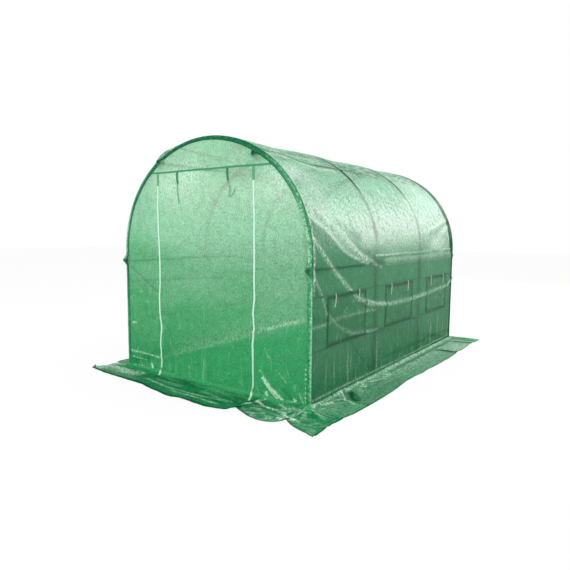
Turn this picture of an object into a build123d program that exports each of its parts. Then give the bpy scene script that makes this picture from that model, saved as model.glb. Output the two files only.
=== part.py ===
"""Walk-in polytunnel greenhouse: a steel hoop frame under a zipped film cover with a ground skirt.

Millimetres. X runs across the tunnel, Y from the door end to the plain end, Z up from the ground.
The origin is on the ground at the centre of the whole footprint, skirts included.
"""
from build123d import *
import os
from math import cos, radians, sin, tan

# Hoop frame
HOOP_COUNT = 4
BAY_LENGTH = 1000.0
HOOP_SPAN = 1965.0
SPRING_HEIGHT = 1050.0
HAUNCH_INSET = 102.5
HAUNCH_SWEEP = 55.0
HOOP_TUBE_RADIUS = 12.5
HOOP_TUBE_WALL = 1.0
RAIL_TUBE_RADIUS = 9.5
RAIL_TUBE_WALL = 0.8
TUBE_GAP = 1.0

# Cross joints where legs, arches and side rails meet
RAIL_BELOW_SPRING = 70.0
JOINT_WALL = 2.4
JOINT_CLEARANCE = 0.1
JOINT_LENGTH = 90.0
SOCKET_DEPTH = 45.0
END_REACH = 50.0
CAP_WALL = 1.5
CAP_LENGTH = 14.0

# Roof rails hang under the arches in two-way clips
ROOF_RAIL_ANGLE = 61.0
CLIP_WALL = 2.4
CLIP_WEB = 2.0
CLIP_WIDTH = 26.0

# Diagonal braces of the door bay
BRACE_RADIUS = 8.0
BRACE_WALL = 1.0
BRACE_TAB = 3.0
BRACE_TAB_LENGTH = 30.0
BRACE_TAB_WIDTH = 22.0
BRACE_BELOW_JOINT = 30.0
BRACE_FOOT = 55.0
BOLT_HOLE_RADIUS = 3.2

# Film cover
COVER_CLEARANCE = 0.5
COVER_THICKNESS = 2.0
ROOF_SEAM_X = 335.0
HEM_LIP = 13.0
END_HOLE_CLEARANCE = 1.0

# Door end
LEFT_ZIP_X = -545.0
RIGHT_ZIP_X = 490.0
HEADER_BELOW_CROWN = 237.0
HEADER_WIDTH = 14.0
HEADER_THICKNESS = 2.0
ZIP_WIDTH = 14.0
ZIP_THICKNESS = 2.5
ZIP_FOOT = 25.0
GARAGE_WIDTH = 22.0
GARAGE_LENGTH = 100.0
GARAGE_THICKNESS = 3.0
STRAP_WIDTH = 12.0
STRAP_THICKNESS = 1.5
LEFT_STRAP_X = -310.0
LEFT_STRAP_LENGTH = 250.0
RIGHT_STRAP_X = 235.0
RIGHT_STRAP_LENGTH = 190.0
RIGHT_STRAP_HOOK = 35.0
TOGGLE_WIDTH = 22.0
TOGGLE_LENGTH = 95.0
TOGGLE_THICKNESS = 3.0

# Side windows, one in each bay
WINDOW_TOP = 780.0
WINDOW_BOTTOM = 405.0
WINDOW_LENGTH = 620.0
WINDOW_MARGIN = 30.0
MESH_THICKNESS = 1.0
MESH_LAP = 15.0
FLAP_THICKNESS = 1.5
SEAM_WIDTH = 12.0
SEAM_THICKNESS = 1.5
TIE_WIDTH = 8.0
TIE_THICKNESS = 1.2
TIE_LENGTH = 100.0
TIE_SPACING = 370.0

# Skirt laid on the ground
SKIRT_THICKNESS = 2.0
SIDE_REACH = 280.0
LEFT_FRONT_REACH = 275.0
DOOR_REACH = 365.0
RIGHT_FRONT_REACH = 335.0
CORNER_REACH = 380.0
REAR_REACH = 165.0
LEFT_CORNER_CUT = 120.0

# Values that follow from the sizes above
SIDES = {"left": -1, "right": 1}
HALF_SPAN = HOOP_SPAN / 2
HAUNCH_RADIUS = HALF_SPAN - HAUNCH_INSET
CROWN_RADIUS = HAUNCH_RADIUS + HAUNCH_INSET / cos(radians(HAUNCH_SWEEP))
CROWN_CENTRE = SPRING_HEIGHT - HAUNCH_INSET * tan(radians(HAUNCH_SWEEP))
RAIL_HEIGHT = SPRING_HEIGHT - RAIL_BELOW_SPRING
BRACE_TOP = RAIL_HEIGHT - JOINT_LENGTH / 2 - BRACE_BELOW_JOINT
HEADER_HEIGHT = CROWN_CENTRE + CROWN_RADIUS - HEADER_BELOW_CROWN
JOINT_BORE = HOOP_TUBE_RADIUS + JOINT_CLEARANCE
JOINT_RADIUS = JOINT_BORE + JOINT_WALL
SOCKET_BORE = RAIL_TUBE_RADIUS + JOINT_CLEARANCE
SOCKET_RADIUS = SOCKET_BORE + JOINT_WALL
COVER_INNER = JOINT_RADIUS + COVER_CLEARANCE
COVER_OUTER = COVER_INNER + COVER_THICKNESS
HALF_WIDTH = HALF_SPAN + COVER_OUTER
TUNNEL_LENGTH = (HOOP_COUNT - 1) * BAY_LENGTH
FRONT_HOOP = -(TUNNEL_LENGTH + REAR_REACH - CORNER_REACH) / 2
REAR_HOOP = FRONT_HOOP + TUNNEL_LENGTH
FRONT_FACE = FRONT_HOOP - COVER_OUTER
REAR_FACE = REAR_HOOP + COVER_OUTER
HOOPS = [FRONT_HOOP + bay * BAY_LENGTH for bay in range(HOOP_COUNT)]
BAY_CENTRES = [hoop + BAY_LENGTH / 2 for hoop in HOOPS[:-1]]
RAIL_DROP = -(HOOP_TUBE_RADIUS + CLIP_WEB + RAIL_TUBE_RADIUS)
SIDE_FACE = HALF_WIDTH
SEAM_TOP = WINDOW_TOP + SEAM_WIDTH


def slab(x_range, y_range, z_range):
    """Box given by its low and high corner on each axis."""
    low_x, high_x = x_range
    low_y, high_y = y_range
    low_z, high_z = z_range
    centre = ((low_x + high_x) / 2, (low_y + high_y) / 2, (low_z + high_z) / 2)
    return Pos(*centre) * Box(high_x - low_x, high_y - low_y, high_z - low_z)


def side_slab(side, distance_range, y_range, z_range):
    """Box on one side of the tunnel, given by its distances from the middle plane."""
    near, far = distance_range
    return slab(sorted((side * near, side * far)), y_range, z_range)


def hoop_point(side, angle, offset=0.0):
    """X and Z of the hoop line at an angle up from level, moved outwards by an offset."""
    if angle <= HAUNCH_SWEEP:
        centre_x, centre_z, radius = HAUNCH_INSET, SPRING_HEIGHT, HAUNCH_RADIUS
    else:
        centre_x, centre_z, radius = 0.0, CROWN_CENTRE, CROWN_RADIUS
    reach = radius + offset
    return side * (centre_x + reach * cos(radians(angle))), centre_z + reach * sin(radians(angle))


def hoop_edges(y, foot, offset=0.0):
    """Edges of the hoop line from its left foot height over the crown to the right foot."""
    def at(side, angle):
        x, z = hoop_point(side, angle, offset)
        return (x, y, z)

    half = HALF_SPAN + offset
    left, right = SIDES["left"], SIDES["right"]
    return [
        Line((-half, y, foot), at(left, 0.0)),
        ThreePointArc(at(left, 0.0), at(left, HAUNCH_SWEEP / 2), at(left, HAUNCH_SWEEP)),
        ThreePointArc(at(left, HAUNCH_SWEEP), at(left, 90.0), at(right, HAUNCH_SWEEP)),
        ThreePointArc(at(right, HAUNCH_SWEEP), at(right, HAUNCH_SWEEP / 2), at(right, 0.0)),
        Line(at(right, 0.0), (half, y, foot)),
    ]


def end_shape(offset, y_range):
    """Solid with the tunnel's end outline at an offset from the hoop line."""
    start, stop = y_range
    half = HALF_SPAN + offset
    outline = hoop_edges(start, 0.0, offset) + [Line((half, start, 0.0), (-half, start, 0.0))]
    return extrude(make_face(outline), amount=stop - start, dir=(0, 1, 0))


def tube(start, direction, length, radius, wall):
    """Straight round tube from a start point along a direction."""
    plane = Plane(origin=start, z_dir=direction)
    return extrude(plane * (Circle(radius) - Circle(radius - wall)), amount=length)


def rod(start, direction, length, radius):
    """Straight round bar from a start point along a direction."""
    return extrude(Plane(origin=start, z_dir=direction) * Circle(radius), amount=length)


def save(node, *solids):
    """Write one sub-part, made of solids that do not touch."""
    shapes = [solid for item in solids for solid in item.solids()]
    export_step(Compound(label=node, children=shapes), f"parts/{node}.step")


def legs(side):
    """Straight hoop legs of one side."""
    length = RAIL_HEIGHT - TUBE_GAP / 2
    return [tube((side * HALF_SPAN, y, 0.0), (0, 0, 1), length, HOOP_TUBE_RADIUS, HOOP_TUBE_WALL)
            for y in HOOPS]


def arch(y):
    """Bent tube of one hoop, from joint to joint."""
    path = Wire(hoop_edges(y, RAIL_HEIGHT + TUBE_GAP / 2))
    ring = Circle(HOOP_TUBE_RADIUS) - Circle(HOOP_TUBE_RADIUS - HOOP_TUBE_WALL)
    return sweep(Plane(origin=path @ 0, z_dir=path % 0) * ring, path=path)


def side_rails(side):
    """Level tubes between the cross joints of one side, one to a bay."""
    stand_off = JOINT_RADIUS + TUBE_GAP
    length = BAY_LENGTH - 2 * stand_off
    return [tube((side * HALF_SPAN, y + stand_off, RAIL_HEIGHT), (0, 1, 0), length,
                 RAIL_TUBE_RADIUS, RAIL_TUBE_WALL) for y in HOOPS[:-1]]


def cross_joint(side, y):
    """Sleeve over leg and arch, with a rail socket to each bay and a stub past the end hoops."""
    x = side * HALF_SPAN
    low = RAIL_HEIGHT - JOINT_LENGTH / 2
    body = rod((x, y, low), (0, 0, 1), JOINT_LENGTH, JOINT_RADIUS)
    bores = rod((x, y, low), (0, 0, 1), JOINT_LENGTH, JOINT_BORE)
    for way in (-1, 1):
        start = (x, y, RAIL_HEIGHT)
        seat = (x, y + way * JOINT_RADIUS, RAIL_HEIGHT)
        into_bay = FRONT_HOOP < y + way * BAY_LENGTH / 2 < REAR_HOOP
        if into_bay:
            body += rod(start, (0, way, 0), JOINT_RADIUS + SOCKET_DEPTH, SOCKET_RADIUS)
            bores += rod(seat, (0, way, 0), SOCKET_DEPTH, SOCKET_BORE)
        else:
            body += rod(start, (0, way, 0), END_REACH, RAIL_TUBE_RADIUS)
    return body - bores


def roof_rail_centre(side):
    """X and Z of a roof rail's axis."""
    return hoop_point(side, ROOF_RAIL_ANGLE, RAIL_DROP)


def roof_rail(side):
    """Tube that runs under all the arches and past both end hoops."""
    x, z = roof_rail_centre(side)
    return tube((x, FRONT_HOOP - END_REACH, z), (0, 1, 0), TUNNEL_LENGTH + 2 * END_REACH,
                RAIL_TUBE_RADIUS, RAIL_TUBE_WALL)


def roof_clip(side, y):
    """Two rings at right angles that hang a roof rail from an arch."""
    arch_x, arch_z = hoop_point(side, ROOF_RAIL_ANGLE)
    rail_x, rail_z = roof_rail_centre(side)
    along = (-side * sin(radians(ROOF_RAIL_ANGLE)), 0.0, cos(radians(ROOF_RAIL_ANGLE)))
    arch_start = (arch_x - along[0] * CLIP_WIDTH / 2, y, arch_z - along[2] * CLIP_WIDTH / 2)
    rail_start = (rail_x, y - CLIP_WIDTH / 2, rail_z)
    bore = HOOP_TUBE_RADIUS + JOINT_CLEARANCE
    body = rod(arch_start, along, CLIP_WIDTH, bore + CLIP_WALL)
    body += rod(rail_start, (0, 1, 0), CLIP_WIDTH, SOCKET_BORE + CLIP_WALL)
    body -= rod(arch_start, along, CLIP_WIDTH, bore)
    return body - rod(rail_start, (0, 1, 0), CLIP_WIDTH, SOCKET_BORE)


def end_cap(x, z, y, way):
    """Cup pushed over the end of a rail or stub, with its mouth towards the tunnel."""
    reach = END_REACH + CAP_WALL
    start = (x, y + way * (reach - CAP_LENGTH), z)
    cup = rod(start, (0, way, 0), CAP_LENGTH, RAIL_TUBE_RADIUS + CAP_WALL)
    return cup - rod(start, (0, way, 0), CAP_LENGTH - CAP_WALL, RAIL_TUBE_RADIUS)


def end_caps():
    """Caps on both ends of the side and roof rails."""
    caps = []
    for side in SIDES.values():
        for x, z in ((side * HALF_SPAN, RAIL_HEIGHT), roof_rail_centre(side)):
            caps.append(end_cap(x, z, FRONT_HOOP, -1))
            caps.append(end_cap(x, z, REAR_HOOP, 1))
    return caps


def brace(side):
    """Diagonal tube with flattened ends, from the front leg's top to the second leg's foot."""
    face = HALF_SPAN - HOOP_TUBE_RADIUS
    top = Vector(side * (face - BRACE_RADIUS), HOOPS[0], BRACE_TOP)
    foot = Vector(side * (face - BRACE_RADIUS), HOOPS[1], BRACE_FOOT)
    run = foot - top
    way = run.normalized()
    body = tube(top + way * BRACE_TAB_LENGTH, way, run.length - 2 * BRACE_TAB_LENGTH,
                BRACE_RADIUS, BRACE_WALL)
    flat = Pos(BRACE_TAB_LENGTH / 2, 0, 0) * Box(BRACE_TAB_LENGTH, BRACE_TAB_WIDTH, BRACE_TAB)
    flat += Cylinder(BRACE_TAB_WIDTH / 2, BRACE_TAB)
    flat -= Cylinder(BOLT_HOLE_RADIUS, BRACE_TAB)
    seat = Vector(side * (BRACE_RADIUS - BRACE_TAB / 2), 0, 0)
    for end, inwards in ((top, way), (foot, -way)):
        body += Plane(origin=end + seat, x_dir=inwards, z_dir=(1, 0, 0)) * flat
    return body


def cover_shell():
    """Film over all the hoops, from the front hoop line to the rear one."""
    run = (FRONT_HOOP, REAR_HOOP)
    return end_shape(COVER_OUTER, run) - end_shape(COVER_INNER, run)


def roof_crown():
    """Middle strip of the roof, between the two roof seams."""
    return cover_shell() & slab((-ROOF_SEAM_X, ROOF_SEAM_X), (FRONT_HOOP, REAR_HOOP),
                                (SPRING_HEIGHT, 2 * SPRING_HEIGHT))


def haunch(side):
    """Curved shoulder of the roof, from the side panel up to the roof seam."""
    return cover_shell() & side_slab(side, (ROOF_SEAM_X, 2 * HALF_WIDTH), (FRONT_HOOP, REAR_HOOP),
                                     (SPRING_HEIGHT, 2 * SPRING_HEIGHT))


def side_panel(side):
    """Upright side of the cover with a window cut through in each bay."""
    panel = side_slab(side, (SIDE_FACE - COVER_THICKNESS, SIDE_FACE), (FRONT_HOOP, REAR_HOOP),
                      (0.0, SPRING_HEIGHT))
    reach = WINDOW_LENGTH / 2 - WINDOW_MARGIN
    for y in BAY_CENTRES:
        panel -= side_slab(side, (SIDE_FACE - COVER_THICKNESS, SIDE_FACE), (y - reach, y + reach),
                           (WINDOW_BOTTOM + WINDOW_MARGIN, WINDOW_TOP - WINDOW_MARGIN))
    return panel


def window_meshes(side):
    """Net panels behind the windows."""
    reach = WINDOW_LENGTH / 2 - WINDOW_MARGIN + MESH_LAP
    rise = WINDOW_MARGIN - MESH_LAP
    face = SIDE_FACE - COVER_THICKNESS
    return [side_slab(side, (face - MESH_THICKNESS, face), (y - reach, y + reach),
                      (WINDOW_BOTTOM + rise, WINDOW_TOP - rise)) for y in BAY_CENTRES]


def window_flaps(side):
    """Closed roll-up flaps, hung from the upper seam and resting on the lower one."""
    return [side_slab(side, (SIDE_FACE, SIDE_FACE + FLAP_THICKNESS),
                      (y - WINDOW_LENGTH / 2, y + WINDOW_LENGTH / 2),
                      (WINDOW_BOTTOM, WINDOW_TOP)) for y in BAY_CENTRES]


def window_seams(side):
    """Long bands above and below the windows."""
    return [side_slab(side, (SIDE_FACE, SIDE_FACE + SEAM_THICKNESS), (FRONT_HOOP, REAR_HOOP), band)
            for band in ((WINDOW_TOP, SEAM_TOP), (WINDOW_BOTTOM - SEAM_WIDTH, WINDOW_BOTTOM))]


def window_ties(side):
    """Straps that hang from the upper seam, two to a window."""
    face = SIDE_FACE + SEAM_THICKNESS
    ties = []
    for y in BAY_CENTRES:
        for place in (y - TIE_SPACING / 2, y + TIE_SPACING / 2):
            ties.append(side_slab(side, (face, face + TIE_THICKNESS),
                                  (place - TIE_WIDTH / 2, place + TIE_WIDTH / 2),
                                  (SEAM_TOP - TIE_LENGTH, SEAM_TOP)))
    return ties


def rail_ends(y_range):
    """Round bars that open the end of the cover for the rails and stubs."""
    start, stop = y_range
    radius = RAIL_TUBE_RADIUS + END_HOLE_CLEARANCE
    bars = Part()
    for side in SIDES.values():
        for x, z in ((side * HALF_SPAN, RAIL_HEIGHT), roof_rail_centre(side)):
            bars += rod((x, start, z), (0, 1, 0), stop - start, radius)
    return bars


def front_hem():
    """Film wrapped round the front hoop and turned inwards, as one swept edge."""
    path = Wire(hoop_edges(FRONT_HOOP, 0.0))
    quarter = (Circle(COVER_OUTER) - Circle(COVER_INNER)) & Rectangle(
        COVER_OUTER, COVER_OUTER, align=(Align.MIN, Align.MIN))
    lip = Pos(-HEM_LIP, COVER_INNER) * Rectangle(
        HEM_LIP, COVER_THICKNESS, align=(Align.MIN, Align.MIN))
    plane = Plane(origin=path @ 0, x_dir=(-1, 0, 0), z_dir=(0, 0, 1))
    hem = sweep(plane * (quarter + lip), path=path)
    return hem - rail_ends((FRONT_FACE, FRONT_HOOP))


def rear_hem():
    """The same edge round the rear hoop."""
    return mirror(front_hem(), about=Plane.XZ.offset(-(FRONT_HOOP + REAR_HOOP) / 2))


def front_wall():
    """Whole door end inside the hem."""
    run = (FRONT_FACE, FRONT_FACE + COVER_THICKNESS)
    return end_shape(-HEM_LIP, run) - rail_ends(run)


def front_pieces():
    """The door end cut along the zips and the header."""
    wide = (-HALF_WIDTH, HALF_WIDTH)
    run = (FRONT_FACE, FRONT_FACE + COVER_THICKNESS)
    upright = (0.0, HEADER_HEIGHT)
    wall = front_wall()
    return {
        "front_left_panel": wall & slab((-HALF_WIDTH, LEFT_ZIP_X), run, upright),
        "door_panel": wall & slab((LEFT_ZIP_X, RIGHT_ZIP_X), run, upright),
        "front_right_panel": wall & slab((RIGHT_ZIP_X, HALF_WIDTH), run, upright),
        "front_top_panel": wall & slab(wide, run, (HEADER_HEIGHT, 2 * HEADER_HEIGHT)),
    }


def rear_wall():
    """Plain end inside the rear hem."""
    run = (REAR_FACE - COVER_THICKNESS, REAR_FACE)
    return end_shape(-HEM_LIP, run) - rail_ends(run)


def header_band():
    """Webbing over the joint between the top panel and the door."""
    run = (FRONT_FACE - HEADER_THICKNESS, FRONT_FACE)
    return end_shape(-HEM_LIP, run) & slab(
        (-HALF_WIDTH, HALF_WIDTH), run,
        (HEADER_HEIGHT - HEADER_WIDTH / 2, HEADER_HEIGHT + HEADER_WIDTH / 2))


def front_strip(x, width, thickness, z_range):
    """Flat strip on the outside of the door end."""
    return slab((x - width / 2, x + width / 2), (FRONT_FACE - thickness, FRONT_FACE), z_range)


def zip_strip(x):
    """One side zip of the door, up to its garage."""
    return front_strip(x, ZIP_WIDTH, ZIP_THICKNESS, (ZIP_FOOT, header_foot() - GARAGE_LENGTH))


def header_foot():
    """Height of the header band's lower edge."""
    return HEADER_HEIGHT - HEADER_WIDTH / 2


def zip_garages():
    """Patches that cover the closed tops of the zips."""
    return [front_strip(x, GARAGE_WIDTH, GARAGE_THICKNESS,
                        (header_foot() - GARAGE_LENGTH, header_foot()))
            for x in (LEFT_ZIP_X, RIGHT_ZIP_X)]


def strap_toggles():
    """Stiff tabs at the top of the door straps."""
    return [front_strip(x, TOGGLE_WIDTH, TOGGLE_THICKNESS,
                        (header_foot() - TOGGLE_LENGTH, header_foot()))
            for x in (LEFT_STRAP_X, RIGHT_STRAP_X)]


def left_door_strap():
    """Strap that hangs straight below its toggle."""
    top = header_foot() - TOGGLE_LENGTH
    return front_strip(LEFT_STRAP_X, STRAP_WIDTH, STRAP_THICKNESS,
                       (header_foot() - LEFT_STRAP_LENGTH, top))


def right_door_strap():
    """Strap that hangs below its toggle and turns up in a hook."""
    top = header_foot() - TOGGLE_LENGTH
    foot = header_foot() - RIGHT_STRAP_LENGTH
    strap = Pos(RIGHT_STRAP_X, FRONT_FACE, 0)
    inner = RIGHT_STRAP_HOOK - STRAP_WIDTH / 2
    outer = RIGHT_STRAP_HOOK + STRAP_WIDTH / 2
    upright = front_strip(RIGHT_STRAP_X, STRAP_WIDTH, STRAP_THICKNESS, (foot, top))
    bend = Cylinder(outer, STRAP_THICKNESS) - Cylinder(inner, STRAP_THICKNESS)
    bend = Rot(90, 0, 0) * bend
    bend = Pos(RIGHT_STRAP_HOOK, -STRAP_THICKNESS / 2, foot) * bend
    lower = slab((-STRAP_WIDTH / 2, RIGHT_STRAP_HOOK + outer), (-STRAP_THICKNESS, 0.0),
                 (foot - outer, foot))
    return upright + strap * (bend & lower)


def skirt(outline):
    """Flat film on the ground inside an outline of corner points."""
    face = make_face(Polyline(*outline, close=True))
    return extrude(face, amount=SKIRT_THICKNESS, dir=(0, 0, 1))


def skirts():
    """The six pieces of skirt round the foot of the cover."""
    left_edge = -HALF_WIDTH - SIDE_REACH
    right_edge = HALF_WIDTH + SIDE_REACH
    front = FRONT_FACE
    rear = REAR_FACE
    return {
        "front_left_skirt": skirt([
            (LEFT_ZIP_X, front), (left_edge, front), (left_edge, front - LEFT_FRONT_REACH / 2),
            (left_edge + LEFT_CORNER_CUT, front - LEFT_FRONT_REACH),
            (LEFT_ZIP_X, front - LEFT_FRONT_REACH)]),
        "door_skirt": skirt([
            (LEFT_ZIP_X, front), (LEFT_ZIP_X, front - LEFT_FRONT_REACH),
            (LEFT_ZIP_X / 2, front - DOOR_REACH), (RIGHT_ZIP_X / 2, front - DOOR_REACH),
            (RIGHT_ZIP_X, front - RIGHT_FRONT_REACH), (RIGHT_ZIP_X, front)]),
        "front_right_skirt": skirt([
            (RIGHT_ZIP_X, front), (RIGHT_ZIP_X, front - RIGHT_FRONT_REACH),
            (HALF_WIDTH, front - RIGHT_FRONT_REACH), (right_edge, front - CORNER_REACH),
            (right_edge, front)]),
        "left_skirt": skirt([
            (-HALF_WIDTH, front), (-HALF_WIDTH, rear), (left_edge, rear), (left_edge, front)]),
        "right_skirt": skirt([
            (HALF_WIDTH, front), (HALF_WIDTH, rear), (right_edge, rear), (right_edge, front)]),
        "rear_skirt": skirt([
            (left_edge, rear), (right_edge, rear), (right_edge, rear + REAR_REACH),
            (left_edge, rear + REAR_REACH)]),
    }


def main():
    """Write every sub-part."""
    os.makedirs("parts", exist_ok=True)
    for name, y in zip(("front", "second", "third", "rear"), HOOPS):
        save(f"{name}_arch", arch(y))
    for name, side in SIDES.items():
        save(f"{name}_legs", *legs(side))
        save(f"{name}_side_rails", *side_rails(side))
        save(f"{name}_cross_joints", *[cross_joint(side, y) for y in HOOPS])
        save(f"{name}_roof_rail", roof_rail(side))
        save(f"{name}_roof_clips", *[roof_clip(side, y) for y in HOOPS])
        save(f"{name}_brace", brace(side))
        save(f"{name}_haunch", haunch(side))
        save(f"{name}_side_panel", side_panel(side))
        save(f"{name}_window_meshes", *window_meshes(side))
        save(f"{name}_window_flaps", *window_flaps(side))
        save(f"{name}_window_seams", *window_seams(side))
        save(f"{name}_window_ties", *window_ties(side))
    save("rail_end_caps", *end_caps())
    save("roof_crown", roof_crown())
    save("front_hem", front_hem())
    save("rear_hem", rear_hem())
    for name, piece in front_pieces().items():
        save(name, piece)
    save("rear_wall", rear_wall())
    save("header_band", header_band())
    save("left_zip", zip_strip(LEFT_ZIP_X))
    save("right_zip", zip_strip(RIGHT_ZIP_X))
    save("zip_garages", *zip_garages())
    save("left_door_strap", left_door_strap())
    save("right_door_strap", right_door_strap())
    save("strap_toggles", *strap_toggles())
    for name, piece in skirts().items():
        save(name, piece)


main()
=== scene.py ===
"""Walk-in polytunnel greenhouse, dressed: film cover, door end, windows and ground skirt.

Metres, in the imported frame. X runs across the tunnel, Y from the door end to the plain end,
and Z up from the ground.
"""
from __future__ import annotations

import logging
from contextlib import contextmanager
from dataclasses import dataclass, field
from enum import Enum
from functools import partial
from math import cos, pi, radians, tan
from typing import Callable, Iterator

import bpy
import numpy as np
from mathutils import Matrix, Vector, noise


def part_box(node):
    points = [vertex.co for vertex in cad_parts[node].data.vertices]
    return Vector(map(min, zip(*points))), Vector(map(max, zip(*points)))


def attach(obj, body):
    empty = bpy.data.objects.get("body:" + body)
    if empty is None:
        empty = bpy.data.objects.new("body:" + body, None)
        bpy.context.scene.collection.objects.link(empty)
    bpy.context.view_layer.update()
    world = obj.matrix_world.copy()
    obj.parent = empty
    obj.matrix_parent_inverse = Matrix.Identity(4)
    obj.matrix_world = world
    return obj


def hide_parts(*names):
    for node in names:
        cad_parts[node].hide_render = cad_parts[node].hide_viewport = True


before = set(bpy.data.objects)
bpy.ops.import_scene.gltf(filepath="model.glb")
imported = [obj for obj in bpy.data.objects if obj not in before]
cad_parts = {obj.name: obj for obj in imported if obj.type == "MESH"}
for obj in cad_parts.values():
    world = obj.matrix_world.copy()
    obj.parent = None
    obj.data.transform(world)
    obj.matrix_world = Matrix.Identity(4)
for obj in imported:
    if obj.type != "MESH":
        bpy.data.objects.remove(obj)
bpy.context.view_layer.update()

log = logging.getLogger("polytunnel")

Colour = tuple[float, float, float, float]
Line = tuple[tuple[float, float], ...]
Array = np.ndarray
Edge = Callable[[Array], Array]
Profile = Callable[[Array, Array], Array]
Material = bpy.types.Material
Node = bpy.types.Node
Looks = dict[str, Material]
Piece = bpy.types.Object
Socket = bpy.types.NodeSocket
Tree = bpy.types.NodeTree


def rgb(red: float, green: float, blue: float) -> Colour:
    """Opaque colour from three linear shares."""
    return (red, green, blue, 1.0)


class Side(Enum):
    """Long side of the tunnel, seen from the door end."""

    LEFT = -1
    RIGHT = 1


class Held(Enum):
    STRETCHED = "stretched"
    HUNG = "hung"
    LAID = "laid"


# Shader nodes


class Graph:
    """Adds nodes to one shader tree and joins them."""

    def __init__(self, tree: Tree) -> None:
        """Work on the given tree."""
        self.tree = tree

    def add(self, kind: str, sockets: dict | None = None, **settings: object) -> Node:
        """Add a node.

        Args:
            kind: Name of the node's type, after its first word.
            sockets: Values or output sockets, by the input's name or number.
            **settings: Properties of the node, set before its sockets.

        Returns:
            The new node.
        """
        node = self.tree.nodes.new("ShaderNode" + kind)
        for name, value in settings.items():
            setattr(node, name, value)
        for name, value in (sockets or {}).items():
            self.join(node.inputs[name], value)
        return node

    def join(self, target: Socket, value: object) -> None:
        """Link an output, or a node's first one, to an input, or set the input's own value."""
        if isinstance(value, Node):
            value = value.outputs[0]
        if isinstance(value, Socket):
            self.tree.links.new(value, target)
        else:
            target.default_value = value

    def group(self, tree: Tree, **values: object) -> Node:
        """Place a shared group with values of its inputs."""
        node = self.add("Group", node_tree=tree)
        for name, value in values.items():
            self.join(node.inputs[name], value)
        return node

    def maths(self, operation: str, *values: object) -> Node:
        """Math node over up to three values."""
        return self.add("Math", dict(enumerate(values)), operation=operation)

    def mix(self, share: object, first: object, second: object, blend: str = "MIX") -> Socket:
        """Output of a colour mix."""
        node = self.add("Mix", {0: share, 6: first, 7: second}, data_type="RGBA", blend_type=blend)
        return node.outputs[2]

    def spread(self, value: object, low: object, high: object, to_low: float = 0.0, to_high: float = 1.0) -> Node:
        """Value mapped smoothly from one range to another and held at its ends."""
        sockets = {0: value, 1: low, 2: high, 3: to_low, 4: to_high}
        return self.add("MapRange", sockets, interpolation_type="SMOOTHSTEP")


def new_group(name: str, inputs: dict[str, object], outputs: dict[str, str]) -> tuple[Graph, dict, dict]:
    """Start a shader group with named sockets.

    Args:
        name: Name of the group.
        inputs: Default value of each input; a tuple makes a colour socket.
        outputs: Socket type of each output.

    Returns:
        The graph to fill, its input sockets by name, and its result sockets by name.
    """
    tree = bpy.data.node_groups.new(name, "ShaderNodeTree")
    for label, value in inputs.items():
        kind = "NodeSocketColor" if isinstance(value, tuple) else "NodeSocketFloat"
        socket = tree.interface.new_socket(label, in_out="INPUT", socket_type=kind)
        socket.default_value = value
    for label, kind in outputs.items():
        tree.interface.new_socket(label, in_out="OUTPUT", socket_type=kind)
    graph = Graph(tree)
    given = tree.nodes.new("NodeGroupInput")
    result = tree.nodes.new("NodeGroupOutput")
    return graph, {s.name: s for s in given.outputs if s.name}, {s.name: s for s in result.inputs if s.name}


def make_height_shading() -> Tree:
    """Group of painted light and shade that blends four colours from the foot of the tunnel to its crown."""
    names = ("Foot", "Waist", "Shoulder", "Crown")
    heights = (0.1, 0.7, 1.3, 1.9)
    inputs: dict[str, object] = {name: rgb(0.1, 0.4, 0.2) for name in names}
    inputs |= {f"{name} Height": height for name, height in zip(names, heights)}
    inputs["Level"] = 0.0
    graph, given, result = new_group("height_shading", inputs, {"Color": "NodeSocketColor"})
    place = graph.add("TexCoord").outputs["Object"]
    drift = graph.add("TexNoise", {"Vector": place, "Scale": 2.6, "Detail": 3.0})
    height = graph.maths("MULTIPLY_ADD", graph.maths("SUBTRACT", drift, 0.5), 0.14, given["Level"])
    colour = given["Foot"]
    for lower, upper in zip(names, names[1:]):
        share = graph.spread(height, given[f"{lower} Height"], given[f"{upper} Height"])
        colour = graph.mix(share, colour, given[upper])
    graph.join(result["Color"], colour)
    return graph.tree


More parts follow.
